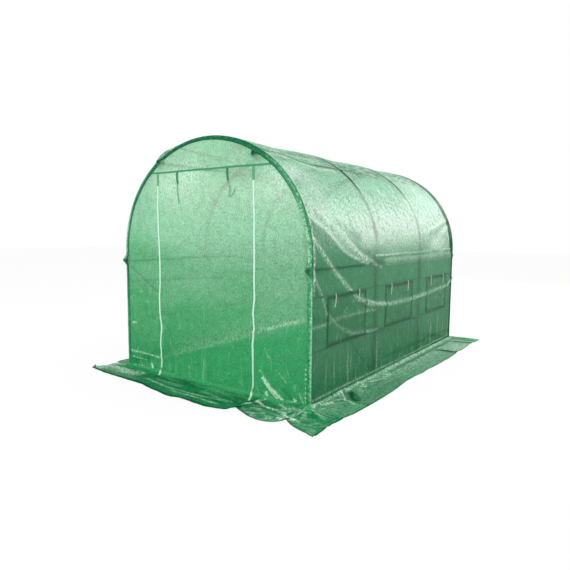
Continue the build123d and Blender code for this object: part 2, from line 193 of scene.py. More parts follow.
def make_crinkle() -> Tree:
    """Group for creased film: soft patches, grain, short strokes, long creases and a relief.

    It reads a UV map in metres, with V along the fall of the film.
    """
    names = ("Patches", "Grain", "Strokes", "Creases", "Frosting", "Height")
    graph, given, result = new_group(
        "film_crinkle", {"Scale": 40.0, "Long": 0.6}, {name: "NodeSocketFloat" for name in names})
    flat = graph.add("UVMap")
    long = graph.add("Mapping", {0: flat, "Scale": graph.add("CombineXYZ", {0: 1.0, 1: given["Long"], 2: 1.0})})

    def field_of(where: Node, share: float, detail: float, twist: float = 0.0) -> Node:
        """Even noise at a share of the group's scale."""
        return graph.add("TexNoise", {
            "Vector": where, "Scale": graph.maths("MULTIPLY", given["Scale"], share),
            "Detail": detail, "Distortion": twist}, noise_dimensions="2D")

    def contour(value: Node, width: float) -> Node:
        """Thin line where noise passes its middle."""
        return graph.spread(graph.maths("ABSOLUTE", graph.maths("SUBTRACT", value, 0.5)), 0.0, width, 1.0, 0.0)

    patches = field_of(flat, 0.42, 3.0)
    grain = field_of(long, 2.6, 2.0)
    strokes = graph.maths("MULTIPLY", contour(field_of(long, 1.0, 1.0, 0.5), 0.045),
                          graph.spread(field_of(flat, 1.7, 1.0), 0.47, 0.6))
    creases = graph.maths("MULTIPLY", contour(field_of(flat, 0.16, 2.0, 0.2), 0.009),
                          graph.spread(field_of(flat, 0.3, 2.0, 0.3), 0.46, 0.56))
    slant = graph.add("Mapping", {0: flat, "Rotation": (0.0, 0.0, 0.85), "Scale": (1.0, 0.16, 1.0)})
    slanted = graph.maths("MULTIPLY", contour(field_of(slant, 0.2, 2.0, 0.1), 0.014),
                          graph.spread(field_of(flat, 0.09, 2.0), 0.45, 0.55))
    creases = graph.maths("MAXIMUM", creases, slanted)
    frosting = graph.spread(field_of(long, 1.9, 2.0, 0.6), 0.44, 0.58)
    for name, value in zip(names, (patches, grain, strokes, creases, frosting)):
        graph.join(result[name], value)
    height = graph.maths("MULTIPLY_ADD", patches, 1.1, graph.maths("MULTIPLY", grain, 0.25))
    height = graph.maths("MULTIPLY_ADD", strokes, 0.3, height)
    graph.join(result["Height"], graph.maths("MULTIPLY_ADD", creases, 0.3, height))
    return graph.tree


def make_scrim() -> Tree:
    """Group for the square net of threads inside the film, from a UV map in metres."""
    graph, given, result = new_group("film_scrim", {"Pitch": 0.008, "Thread": 0.14}, {"Threads": "NodeSocketFloat"})
    flat = graph.add("SeparateXYZ", {0: graph.add("UVMap")})
    lines = []
    for axis in (0, 1):
        turn = graph.maths("DIVIDE", flat.outputs[axis], given["Pitch"])
        near = graph.maths("PINGPONG", turn, 0.5)
        lines.append(graph.maths("LESS_THAN", near, given["Thread"]))
    graph.join(result["Threads"], graph.maths("MAXIMUM", *lines))
    return graph.tree


def make_wear() -> Tree:
    """Group for handled metal and plastic: soft blotches and fine scratches."""
    graph, given, result = new_group(
        "wear", {"Scale": 22.0}, {"Blotches": "NodeSocketFloat", "Scratches": "NodeSocketFloat"})
    place = graph.add("TexCoord").outputs["Object"]
    blotch = graph.add("TexNoise", {"Vector": place, "Scale": given["Scale"], "Detail": 4.0})
    long = graph.add("Mapping", {0: place, "Scale": (60.0, 60.0, 9.0)})
    scratch = graph.add("TexNoise", {"Vector": long, "Scale": 5.0, "Detail": 5.0})
    graph.join(result["Blotches"], graph.spread(blotch, 0.35, 0.65))
    graph.join(result["Scratches"], graph.spread(scratch, 0.56, 0.7))
    return graph.tree


@dataclass
class SharedGroups:
    """The shader groups that several finishes place."""

    height_shading: Tree = field(default_factory=make_height_shading)
    crinkle: Tree = field(default_factory=make_crinkle)
    scrim: Tree = field(default_factory=make_scrim)
    wear: Tree = field(default_factory=make_wear)


def blank_material(name: str) -> tuple[Material, Graph]:
    """New material with an empty node tree."""
    material = bpy.data.materials.new(name)
    material.use_nodes = True
    material.node_tree.nodes.clear()
    return material, Graph(material.node_tree)


@dataclass(frozen=True)
class FilmFinish:
    """Translucent reinforced film.

    facing and through are the colours at foot, waist, shoulder and crown that the film shows by
    light on it and by light behind it, and heights are the levels of those four; the blend between
    them is painted light and shade, deeper low down and paler higher up. clear is the share that is
    seen through it, grain and strokes are the strength of its marks, and relief the strength of its
    crinkles, each low down and at the crown.
    """

    name: str
    facing: tuple[Colour, Colour, Colour, Colour]
    through: tuple[Colour, Colour, Colour, Colour]
    heights: tuple[float, float, float, float] = (0.1, 0.7, 1.3, 1.9)
    pale: Colour = (0.72, 0.93, 0.78, 1.0)
    behind: float = 0.45
    clear: tuple[float, float] = (0.3, 0.5)
    clear_tint: Colour = (0.50, 0.88, 0.64, 1.0)
    gloss: tuple[float, float] = (0.3, 0.3)
    roughness: float = 0.3
    crinkle: float = 40.0
    grain: tuple[float, float] = (0.3, 0.3)
    strokes: tuple[float, float] = (0.4, 0.4)
    creases: float = 0.22
    relief: tuple[float, float] = (0.2, 0.25)

    def material(self, groups: SharedGroups) -> Material:
        """Build the finish."""
        material, graph = blank_material(self.name)
        crease = graph.group(groups.crinkle, Scale=self.crinkle)
        threads = graph.group(groups.scrim)
        frost_and_highlight_mark, shade_mark, level = (graph.add("Attribute", attribute_name=mark).outputs["Fac"]
                                         for mark in ("frost_and_highlight", "shade", "level"))
        frost_and_highlight = graph.maths("MULTIPLY", frost_and_highlight_mark,
                            graph.maths("MULTIPLY_ADD", crease.outputs["Frosting"], 0.85, 0.2))
        frost_and_highlight = graph.maths("MINIMUM", frost_and_highlight, 1.0)
        busy = graph.spread(level, 0.95, 1.2, *self.strokes)
        veil = graph.maths("MAXIMUM", graph.maths("MULTIPLY", crease.outputs["Strokes"], busy),
                           graph.maths("MULTIPLY", crease.outputs["Creases"], self.creases))
        marks = graph.maths("MAXIMUM", frost_and_highlight, veil)
        swing = graph.maths("MULTIPLY", graph.maths("SUBTRACT", crease.outputs["Grain"], 0.5),
                            graph.spread(level, 0.95, 1.2, 2.0 * self.grain[0], 2.0 * self.grain[1]))
        swing = graph.maths("MULTIPLY_ADD", graph.maths("SUBTRACT", crease.outputs["Patches"], 0.5), 0.5, swing)
        swing = graph.maths("ADD", swing, 1.0)
        colours = []
        for stops in (self.facing, self.through):
            tint = graph.group(groups.height_shading, Level=level)
            for label, stop, height in zip(("Foot", "Waist", "Shoulder", "Crown"), stops, self.heights):
                tint.inputs[label].default_value = stop
                tint.inputs[f"{label} Height"].default_value = height
            colour = graph.mix(1.0, tint, graph.add("CombineColor", {0: swing, 1: swing, 2: swing}), "MULTIPLY")
            colour = graph.mix(marks, colour, self.pale)
            colour = graph.mix(graph.maths("MULTIPLY", threads, 0.025), colour, rgb(0.9, 0.98, 0.92))
            colours.append(graph.mix(shade_mark, colour, rgb(0.004, 0.10, 0.038)))
        relief = graph.maths("MULTIPLY_ADD", threads, 0.06, crease.outputs["Height"])
        bump = graph.add("Bump", {
            "Strength": graph.spread(level, 0.95, 1.2, self.relief[0], self.relief[1]), "Distance": 0.02,
            "Height": relief})
        roughness = graph.maths("MULTIPLY_ADD", marks, 0.25, self.roughness)
        surface = graph.add("BsdfPrincipled", {
            "Base Color": colours[0], "Roughness": roughness,
            "Specular IOR Level": graph.maths("MULTIPLY", graph.spread(level, 0.95, 1.2, *self.gloss),
                                              graph.maths("SUBTRACT", 1.0, shade_mark)), "Normal": bump})
        glow = graph.add("BsdfTranslucent", {"Color": colours[1], "Normal": bump})
        film = graph.add("MixShader", {0: self.behind, 1: surface, 2: glow})
        opening = graph.add("BsdfTransparent", {0: self.clear_tint})
        share = graph.spread(level, 1.5, 1.75, *self.clear)
        share = graph.maths("MULTIPLY", share, graph.maths("SUBTRACT", 1.0, shade_mark))
        share = graph.maths("MULTIPLY", share, graph.maths("MULTIPLY_ADD", frost_and_highlight, -0.75, 1.0))
        seen = graph.add("MixShader", {0: share, 1: film, 2: opening})
        back = graph.add("NewGeometry").outputs["Backfacing"]
        passed = graph.add("BsdfTransparent", {0: rgb(1.0, 1.0, 1.0)})
        whole = graph.add("MixShader", {0: back, 1: seen, 2: passed})
        graph.add("OutputMaterial", {0: whole})
        return material


@dataclass(frozen=True)
class HardFinish:
    """Metal or moulded plastic with wear."""

    name: str
    colour: Colour
    worn: Colour
    metallic: float = 0.0
    roughness: float = 0.4
    scale: float = 22.0

    def material(self, groups: SharedGroups) -> Material:
        """Build the finish."""
        material, graph = blank_material(self.name)
        wear = graph.group(groups.wear, Scale=self.scale)
        marks = graph.maths("MULTIPLY_ADD", wear.outputs["Scratches"], 0.5,
                            graph.maths("MULTIPLY", wear.outputs["Blotches"], 0.5))
        colour = graph.mix(marks, self.colour, self.worn)
        rough = graph.maths("MULTIPLY_ADD", wear.outputs["Blotches"], 0.16, self.roughness)
        bump = graph.add("Bump", {"Strength": 0.15, "Distance": 0.0006, "Height": marks})
        surface = graph.add("BsdfPrincipled", {
            "Base Color": colour, "Roughness": rough, "Metallic": self.metallic,
            "Normal": bump})
        graph.add("OutputMaterial", {0: surface})
        return material


@dataclass(frozen=True)
class TapeFinish:
    """Woven tape: webbing, zip tape or tie tape, ribbed across its length."""

    name: str
    colour: Colour
    rib_colour: Colour
    rib: float = 0.003
    roughness: float = 0.75
    sheen: float = 0.03

    def material(self, groups: SharedGroups) -> Material:
        """Build the finish."""
        material, graph = blank_material(self.name)
        threads = graph.group(groups.scrim, Pitch=self.rib, Thread=0.22)
        wear = graph.group(groups.wear, Scale=35.0)
        colour = graph.mix(graph.maths("MULTIPLY", threads, 0.6), self.colour, self.rib_colour)
        colour = graph.mix(graph.maths("MULTIPLY", wear.outputs["Blotches"], 0.25), colour, self.rib_colour)
        bump = graph.add("Bump", {"Strength": 0.4, "Distance": 0.0006, "Height": threads})
        surface = graph.add("BsdfPrincipled", {
            "Base Color": colour, "Roughness": self.roughness, "Sheen Weight": self.sheen,
            "Normal": bump})
        graph.add("OutputMaterial", {0: surface})
        return material


@dataclass(frozen=True)
class NetFinish:
    """Fine insect net with open squares."""

    name: str
    colour: Colour
    pitch: float = 0.004

    def material(self, groups: SharedGroups) -> Material:
        """Build the finish."""
        material, graph = blank_material(self.name)
        threads = graph.group(groups.scrim, Pitch=self.pitch, Thread=0.06)
        wear = graph.group(groups.wear)
        colour = graph.mix(wear.outputs["Blotches"], self.colour, rgb(0.16, 0.36, 0.22))
        surface = graph.add("BsdfPrincipled", {"Base Color": colour, "Roughness": 0.6})
        opening = graph.add("BsdfTransparent", {0: rgb(1.0, 1.0, 1.0)})
        whole = graph.add("MixShader", {0: threads, 1: opening, 2: surface})
        graph.add("OutputMaterial", {0: whole})
        return material


# Shapes


def steps(marks: list[float], pitch: float) -> Array:
    """Places from the first mark to the last, through every mark, no further apart than pitch."""
    places = [marks[0]]
    for low, high in zip(marks, marks[1:]):
        count = max(1, int(np.ceil(abs(high - low) / pitch)))
        places += [low + (high - low) * k / count for k in range(1, count + 1)]
    return np.array(places)


def ease(value: Array) -> Array:
    """Smooth step from 0 to 1."""
    held = np.clip(value, 0.0, 1.0)
    return held * held * (3.0 - 2.0 * held)


def ramp(value: Array, start: object, width: float) -> Array:
    """Smooth step from 0 at a start to 1 a width further on."""
    return ease((value - start) / width)


def fall(value: Array, start: object, width: float) -> Array:
    """Smooth step from 1 at a start to 0 a width further on."""
    return 1.0 - ramp(value, start, width)


def bell(value: Array, middle: object, width: float) -> Array:
    """Bell of height one round a middle."""
    return np.exp(-((value - middle) / width) ** 2)


def waves(first: Array, second: Array, seed: float) -> Array:
    """Even noise from -1 to 1 at pairs of coordinates."""
    return np.array([noise.noise(Vector((a, b, seed))) for a, b in zip(first, second)])


def blot(u: Array, v: Array, middle_u: float, middle_v: float, spread_u: float, spread_v: float) -> Array:
    """Soft blot on a sheet, one in its middle."""
    return np.exp(-((u - middle_u) / spread_u) ** 2 - ((v - middle_v) / spread_v) ** 2)


def zip_teeth(share: Array, length: Array) -> Array:
    """Height of a zip's teeth at shares of the tape's width and lengths along it."""
    tooth_pitch = 0.008
    return bell(share, 0.5, 0.19) * (0.0016 + 0.0005 * np.sign(np.sin(length * 2 * pi / tooth_pitch)))


def follow(line: Line, place: Array) -> Array:
    """Second coordinate of a line of points at places along its first."""
    return np.interp(place, *np.transpose(line))


class Route:
    """Line of places on a plane, followed by length."""

    def __init__(self, places: Array) -> None:
        """Measure the line through the places."""
        self.places = places
        self.run = np.concatenate([[0.0], np.cumsum(np.hypot(*np.diff(places, axis=0).T))])
        way = np.gradient(places, self.run, axis=0)
        self.way = way / np.linalg.norm(way, axis=1)[:, None]

    def beside(self, length: Array, off: Array) -> tuple[Array, Array]:
        """Places at lengths along the line and distances to its left."""
        x, y = (np.interp(length, self.run, values) for values in self.places.T)
        way_x, way_y = (np.interp(length, self.run, values) for values in self.way.T)
        return x - off * way_y, y + off * way_x


@dataclass(frozen=True)
class Fold:
    """Crease along a line of points on a sheet.

    line holds the points, rise the ridge's height, width its half width, frost_and_highlight how
    pale it is, from whitened film and painted highlights, and shade how dark.
    """

    line: Line
    rise: float = 0.006
    width: float = 0.02
    frost_and_highlight: float = 0.0
    shade: float = 0.0

    def nearness(self, u: Array, v: Array) -> Array:
        """One on the crease's line, falling off smoothly to its sides."""
        gap = np.full(u.shape, 1e9)
        for (u0, v0), (u1, v1) in zip(self.line, self.line[1:]):
            run_u, run_v = u1 - u0, v1 - v0
            t = ((u - u0) * run_u + (v - v0) * run_v) / (run_u * run_u + run_v * run_v)
            t = np.clip(t, 0.0, 1.0)
            gap = np.minimum(gap, np.hypot(u - u0 - t * run_u, v - v0 - t * run_v))
        return np.exp(-(gap / self.width) ** 2)


def folds(*rows: tuple[float, ...]) -> tuple[Fold, ...]:
    """Folds from rows of rise, width, frost_and_highlight and shade, then the line's coordinates in turn."""
    return tuple(Fold(tuple(zip(row[4::2], row[5::2])), *row[:4]) for row in rows)


@dataclass
class Relief:
    """Lift of a sheet off its plain shape, with its marks.

    frost_and_highlight is how pale the film is, from frosting and from painted highlights, shade how
    dark, and drop how far down the painted height shading its colour is taken from.
    """

    lift: Array
    frost_and_highlight: Array
    shade: Array
    drop: Array

    @classmethod
    def flat(cls, like: Array) -> Relief:
        """Relief with nothing on it."""
        return cls(*(np.zeros(like.shape) for _ in range(4)))

    def paler(self, mark: Array) -> None:
        """Make the film paler up to a mark, by frosting and painted highlight."""
        self.frost_and_highlight = np.maximum(self.frost_and_highlight, mark)

    def darker(self, mark: Array) -> None:
        """Shade the film up to a mark."""
        self.shade = np.maximum(self.shade, mark)

    def crumple(self, u: Array, v: Array, height: float, size: float, seed: float, stretch: float = 1.0) -> None:
        """Add noise of a height and a size along u, longer by stretch along v."""
        coarse = waves(u / size, v / (size * stretch), seed)
        fine = waves(u / size * 2.7 + 5.0, v / (size * stretch) * 2.7, seed + 9.0)
        self.lift += height * (coarse + 0.4 * fine)

    def crease(self, u: Array, v: Array, folds: tuple[Fold, ...]) -> None:
        """Add folds."""
        for fold in folds:
            near = fold.nearness(u, v)
            self.lift += fold.rise * near
            self.paler(fold.frost_and_highlight * near)
            self.darker(fold.shade * near)


@dataclass
class Laid:
    """Where a sheet's vertices go, with their UV in metres and their marks."""

    points: Array
    flat: Array
    relief: Relief

    @classmethod
    def at(cls, place: tuple[Array, Array, Array], flat: tuple[Array, Array], relief: Relief | None = None) -> Laid:
        """Vertices from X, Y and Z and from U and V, plain where no relief is given."""
        return cls(np.column_stack(place), np.column_stack(flat), relief or Relief.flat(flat[0]))


Shape = Callable[[Array, Array], Laid]


def deselect() -> None:
    """Leave nothing selected."""
    if bpy.context.object and bpy.context.object.mode != "OBJECT":
        bpy.ops.object.mode_set(mode="OBJECT")
    bpy.ops.object.select_all(action="DESELECT")


def activate(piece: Piece) -> None:
    """Select one object alone."""
    deselect()
    piece.select_set(True)
    bpy.context.view_layer.objects.active = piece


@contextmanager
def editing() -> Iterator[None]:
    """Edit mode for the steps inside."""
    bpy.ops.object.mode_set(mode="EDIT")
    yield
    bpy.ops.object.mode_set(mode="OBJECT")


def newest() -> Piece:
    """The object just added, with its placing applied to its mesh."""
    bpy.ops.object.transform_apply(location=True, rotation=True, scale=True)
    return bpy.context.object


def apply_modifier(piece: Piece, kind: str, **settings: object) -> None:
    """Add a modifier and apply it."""
    activate(piece)
    modifier = piece.modifiers.new(kind.lower(), kind)
    for name, value in settings.items():
        setattr(modifier, name, value)
    bpy.ops.object.modifier_apply(modifier=modifier.name)


def smooth(piece: Piece, angle: float = 40.0) -> None:
    """Shade smooth, with sharp edges past an angle in degrees."""
    activate(piece)
    bpy.ops.object.shade_smooth_by_angle(angle=radians(angle))


def new_sheet(name: str, across: Array, along: Array, shape: Shape, thickness: float = 0.0015,
              openings: Edge | None = None) -> Piece:
    """Make a sheet from a grid that a shape lays out.

    Args:
        name: Name of the piece.
        across: Places of the grid's lines along its first direction.
        along: Places of the grid's lines along its second direction.
        shape: Gives the laid points at pairs of those places.
        thickness: Thickness of the sheet.
        openings: Tells from the centres of the faces which are cut out.

    Returns:
        The closed thin piece.
    """
    deselect()
    bpy.ops.mesh.primitive_grid_add(x_subdivisions=len(across) - 1, y_subdivisions=len(along) - 1, size=1.0)
    piece = bpy.context.object
    piece.name = name
    mesh = piece.data
    mesh.name = name
    start = np.empty(len(mesh.vertices) * 3, dtype=np.float32)
    mesh.vertices.foreach_get("co", start)
    start = start.reshape(-1, 3)
    u = across[np.rint((start[:, 0] + 0.5) * (len(across) - 1)).astype(int)]
    v = along[np.rint((start[:, 1] + 0.5) * (len(along) - 1)).astype(int)]
    laid = shape(u, v)
    mesh.vertices.foreach_set("co", laid.points.astype(np.float32).ravel())
    for mark, values in (("frost_and_highlight", laid.relief.frost_and_highlight), ("shade", laid.relief.shade),
                         ("level", laid.points[:, 2] - laid.relief.drop)):
        layer = mesh.attributes.new(mark, "FLOAT", "POINT")
        layer.data.foreach_set("value", values.astype(np.float32))
    corners = np.empty(len(mesh.loops), dtype=np.int32)
    mesh.loops.foreach_get("vertex_index", corners)
    mesh.uv_layers[0].uv.foreach_set("vector", laid.flat[corners].astype(np.float32).ravel())
    mesh.update()
    if openings is not None:
        centres = np.empty(len(mesh.polygons) * 3, dtype=np.float32)
        mesh.polygons.foreach_get("center", centres)
        cut = openings(centres.reshape(-1, 3))
        activate(piece)
        with editing():
            bpy.ops.mesh.select_mode(type="FACE")
            bpy.ops.mesh.select_all(action="DESELECT")
        mesh.polygons.foreach_set("select", cut)
        with editing():
            bpy.ops.mesh.delete(type="FACE")
    apply_modifier(piece, "SOLIDIFY", thickness=thickness, offset=0.0)
    smooth(piece)
    return piece


def grid_area(across: Array, along: Array, shape: Shape) -> float:
    """Flat area of a sheet's cut, from its UV in metres."""
    u, v = np.meshgrid(across, along, indexing="ij")
    flat = shape(u.ravel(), v.ravel()).flat.reshape(*u.shape, 2)
    side_a = flat[1:, :-1] - flat[:-1, :-1]
    side_b = flat[:-1, 1:] - flat[:-1, :-1]
    return float(np.abs(side_a[..., 0] * side_b[..., 1] - side_a[..., 1] * side_b[..., 0]).sum())


@dataclass(frozen=True)
class HoopLine:
    """Three-centred outline of the tunnel, in lengths from its right foot over the crown."""

    half_width: float
    spring: float = 1.05
    inset: float = 0.1025
    sweep: float = radians(55.0)

    @property
    def haunch_radius(self) -> float:
        """Radius of the shoulder arcs."""
        return self.half_width - self.inset

    @property
    def crown_radius(self) -> float:
        """Radius of the arc over the crown."""
        return self.haunch_radius + self.inset / cos(self.sweep)

    @property
    def crown_centre(self) -> float:
        """Height of the crown arc's centre."""
        return self.spring - self.inset * tan(self.sweep)

    @property
    def haunch_end(self) -> float:
        """Length from the foot to the top of the shoulder arc."""
        return self.spring + self.haunch_radius * self.sweep

    @property
    def quarter(self) -> float:
        """Length from the foot to the crown."""
        return self.haunch_end + self.crown_radius * (pi / 2 - self.sweep)

    def seam(self, x: float) -> float:
        """Length from the foot to the roof seam at a distance from the middle."""
        return self.quarter - self.crown_radius * float(np.arcsin(x / self.crown_radius))

    def at(self, length: Array) -> tuple[Array, Array, Array, Array]:
        """X, Z and the outward normal's X and Z at lengths from the right foot."""
        t = np.minimum(length, 2 * self.quarter - length)
        side = np.where(length > self.quarter, -1.0, 1.0)
        on_crown = t > self.haunch_end
        angle = np.where(on_crown, self.sweep + (t - self.haunch_end) / self.crown_radius,
                         np.maximum(t - self.spring, 0.0) / self.haunch_radius)
        radius = np.where(on_crown, self.crown_radius, self.haunch_radius)
        x = np.where(on_crown, 0.0, self.inset) + radius * np.cos(angle)
        z = np.where(on_crown, self.crown_centre, self.spring) + radius * np.sin(angle)
        z = np.where(t < self.spring, t, z)
        return side * x, z, side * np.cos(angle), np.sin(angle)

    def height_over(self, x: Array) -> Array:
        """Height of the line over places across the tunnel."""
        off = np.abs(x)
        on_crown = off < self.crown_radius * cos(self.sweep)
        crown = self.crown_centre + np.sqrt(np.maximum(self.crown_radius ** 2 - off ** 2, 0.0))
        reach = np.maximum(self.haunch_radius ** 2 - (off - self.inset) ** 2, 0.0)
        return np.where(on_crown, crown, self.spring + np.sqrt(reach))


def finish_piece(piece: Piece, material: Material, slot: str, *nodes: str) -> Piece:
    """Give a piece its material and its body, and hide the CAD nodes that it stands for."""
    piece.data.materials.clear()
    piece.data.materials.append(material)
    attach(piece, "root")
    if nodes:
        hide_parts(*nodes)
    log.info("%s: %d faces", piece.name, len(piece.data.polygons))
    return piece


def join_pieces(name: str, parts: list[Piece]) -> Piece:
    """Join parts into one piece."""
    deselect()
    for part in parts:
        part.select_set(True)
    bpy.context.view_layer.objects.active = parts[0]
    bpy.ops.object.join()
    piece = bpy.context.object
    piece.name = name
    piece.data.name = name
    return piece


# Sizes that the pieces share


LEFT_ZIP_X = -0.545
RIGHT_ZIP_X = 0.49


@dataclass
class TunnelSizes:
    """Places read from the frame, and the sizes that all film pieces share."""

    film: float = 0.0015
    bays: int = 3
    tent_reach: float = 0.0355
    seam_x: float = field(init=False)
    front: float = field(init=False)
    rear: float = field(init=False)
    hoops: Array = field(init=False)
    outline: HoopLine = field(init=False)
    tube_line: HoopLine = field(init=False)
    rail_ends: list[tuple[float, float]] = field(init=False)

    def __post_init__(self) -> None:
        """Read the frame's boxes."""
        low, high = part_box("right_side_panel")
        self.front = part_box("front_hem")[0].y
        self.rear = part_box("rear_hem")[1].y
        self.hoops = np.linspace(low.y, high.y, self.bays + 1)
        self.outline = HoopLine(high.x - self.film / 2)
        self.seam_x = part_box("roof_crown")[1].x
        legs_low, legs_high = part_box("right_legs")
        self.tube_line = HoopLine((legs_low.x + legs_high.x) / 2)
        stub_low, stub_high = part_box("right_side_rails")
        rail_low, rail_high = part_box("right_roof_rail")
        stub = ((stub_low.x + stub_high.x) / 2, (stub_low.z + stub_high.z) / 2)
        rail = ((rail_low.x + rail_high.x) / 2, (rail_low.z + rail_high.z) / 2)
        self.rail_ends = [stub, rail, (-stub[0], stub[1]), (-rail[0], rail[1])]

    def tents(self, x: Array, z: Array) -> Array:
        """How far the end film is pushed out by the rail ends, as pointed tents."""
        flat, spread = 0.0125, 0.046
        push = np.zeros(x.shape)
        for end_x, end_z in self.rail_ends:
            gap = np.hypot(x - end_x, z - end_z)
            share = np.clip(1.0 - (gap - flat) / spread, 0.0, 1.0)
            push = np.maximum(push, self.tent_reach * share ** 1.6)
        return push


# Sub-assemblies


@dataclass
class Cover:
    """Film over the hoops: two sides, two shoulders and the crown."""

    sizes: TunnelSizes
    pitch: float = 0.0112
    shoulder_pitch: float = 0.0135
    crown_pitch: float = 0.015
    far_pitch: float = 0.02
    window_lap: float = 0.015
    sag: float = 0.0045
    glare: tuple[tuple[float, ...], ...] = (
        (0.1, 1.3, 0.95, 0.115, 2.6), (1.05, 1.8, 0.34, 0.16, 1.2), (-1.2, 1.6, 0.26, 0.24, 0.7),
        (1.25, 1.47, 0.2, 0.1, 0.8), (-1.3, 1.8, 0.3, 0.09, 1.6), (1.12, 1.08, 0.3, 0.08, 1.2))
    taut: Line = ((-1.45, 1.39), (-1.38, 1.355), (-1.28, 1.30), (-1.19, 1.25), (-1.09, 1.18), (-0.97, 1.10),
                  (-0.8, 1.04), (-0.56, 0.97), (-0.42, 0.96), (-0.3, 1.03), (1.65, 1.045))
    hollow: Fold = Fold(((-1.06, 1.34), (-0.95, 1.305), (-0.84, 1.255), (-0.72, 1.195)), 0.0, 0.055, 0.0)
    right_folds: tuple[Fold, ...] = folds(
        (0.009, 0.026, 0.95, 0.0, -1.32, 1.46, -1.2, 1.36, -1.07, 1.28, -0.97, 1.22, -0.87, 1.15, -0.74, 1.085, -0.6,
         1.03),
        (0.007, 0.02, 0.65, 0.0, -0.6, 1.03, -0.53, 1.01, -0.42, 0.975),
        (0.004, 0.016, 0.25, 0.0, -0.42, 0.975, -0.3, 0.945),
        (0.004, 0.011, 0.9, 0.0, -1.39, 1.365, -1.28, 1.31, -1.19, 1.262, -1.09, 1.19, -0.97, 1.11, -0.8, 1.05, -0.56,
         0.985),
        (-0.004, 0.02, 0.0, 0.32, -0.86, 1.22, -0.8, 1.175, -0.73, 1.13, -0.67, 1.095, -0.53, 1.07),
        (0.009, 0.018, 0.75, 0.0, -1.41, 1.22, -1.33, 1.14, -1.23, 1.055, -1.1, 0.955, -0.86, 0.803, -0.73, 0.721,
         -0.42, 0.639, -0.11, 0.606),
        (0.009, 0.018, 0.75, 0.0, -0.6, 0.675, -0.42, 0.639, -0.11, 0.606, 0.35, 0.603, 0.9, 0.622, 1.45, 0.652, 1.6,
         0.72),
        # Next: a painted highlight where the film creases over the side rail, then the rail's painted shadow in bay
        # one.
        (0.005, 0.0065, 1.2, 0.0, -0.42, 1.05, 0.1, 1.055, 0.6, 1.055, 1.1, 1.058, 1.6, 1.062),
        (0.001, 0.0065, 0.0, 0.6, -1.39, 0.98, -0.4, 0.98),
        (0.005, 0.014, 0.4, 0.0, -1.41, 0.956, -1.28, 0.8, -1.22, 0.665, -1.0, 0.517, -0.81, 0.448, -0.35, 0.41),
        (0.004, 0.012, 0.35, 0.0, -1.41, 0.573, -1.19, 0.58, -1.06, 0.6, -0.54, 0.6, -0.4, 0.593),
        (0.008, 0.022, 1.0, 0.0, 0.824, 1.24, 1.009, 1.279, 1.261, 1.338, 1.45, 1.375, 1.57, 1.405),
        (-0.004, 0.028, 0.0, 0.3, 0.9, 1.215, 1.1, 1.24, 1.3, 1.295, 1.5, 1.345),
        (0.006, 0.024, 0.9, 0.0, 0.985, 1.1, 1.217, 1.195, 1.38, 1.26, 1.52, 1.33),
        (0.004, 0.014, 0.7, 0.0, 1.16, 1.03, 1.3, 1.058, 1.42, 1.12, 1.48, 1.19),
        (0.004, 0.01, 0.9, 0.0, -1.4, 0.0, 1.62, 0.0),
        (0.004, 0.007, 0.7, 0.0, -1.39, 0.055, -0.6, 0.055, 0.2, 0.05, 1.6, 0.06),
        (-0.004, 0.016, 0.0, 0.3, -0.25, 0.13, 0.6, 0.125, 1.6, 0.12),
        (-0.003, 0.02, 0.0, 0.14, -1.3, 1.375, -1.13, 1.265, -1.0, 1.17, -0.85, 1.1),
        (0.004, 0.012, 0.0, 0.95, -1.4, 1.99, -1.2, 2.0, -0.96, 1.945, -0.8, 1.905, -0.56, 1.9, -0.3, 1.9, 0.1, 1.94),
        (0.003, 0.02, 1.0, 0.0, -1.4, 1.945, -1.2, 1.955, -0.96, 1.9, -0.8, 1.86, -0.56, 1.855),
        (0.003, 0.02, 0.7, 0.0, -1.4, 2.06, -1.0, 2.04, -0.6, 2.0),
        (0.0, 0.03, 0.0, 0.45, -1.4, 2.13, -0.9, 2.11, -0.5, 2.08),
        (-0.003, 0.022, 0.0, 0.15, -1.39, 1.0, -1.2, 0.9, -0.9, 0.72),
    )
    left_folds: tuple[Fold, ...] = folds(
        (0.002, 0.012, 0.0, 0.85, -1.4, 2.21, 1.6, 2.21),
        # Next: the side rail's painted shadow on the film.
        (0.001, 0.009, 0.0, 0.7, -1.39, 0.98, 1.6, 0.98),
        (0.007, 0.024, 0.5, 0.0, -1.4, 1.2, -1.0, 1.05, -0.4, 0.96),
        (0.008, 0.022, 0.55, 0.0, 1.6, 1.15, 1.2, 0.98, 0.6, 0.72, 0.1, 0.64, -0.5, 0.7),
        (0.004, 0.012, 0.5, 0.0, -1.4, 0.0, 1.62, 0.0),
    )

    def relief(self, side: Side, y: Array, length: Array) -> Relief:
        """Relief of the cover.

        Args:
            side: Side of the tunnel.
            y: Places along the tunnel.
            length: Lengths from the side's foot.

        Returns:
            The lift off the plain outline, with the marks.
        """
        relief = Relief.flat(y)
        seed = 3.0 if side is Side.RIGHT else 41.0
        bay = (y - self.sizes.hoops[0]) / (self.sizes.hoops[1] - self.sizes.hoops[0])
        between = np.sin(pi * (bay - np.floor(np.clip(bay, 0.0, self.sizes.bays - 0.0001)))) ** 2
        slack = 1.0 + 1.7 * ramp(length, 1.1, 0.8)
        relief.lift -= self.sag * slack * between
        quiet = 0.35 + 0.65 * between
        relief.crumple(y, length, 0.0022, 0.11, seed, 1.6)
        # Pleats gathered at the foot, with painted highlights on their ridges.
        pleats = waves(y / 0.034, length / 0.5, seed + 2.0)
        low = ramp(length, 0.01, 0.06) * fall(length, 0.2, 0.25)
        relief.lift += 0.0035 * pleats * low
        relief.paler(0.35 * low * ramp(pleats, 0.25, 0.35))
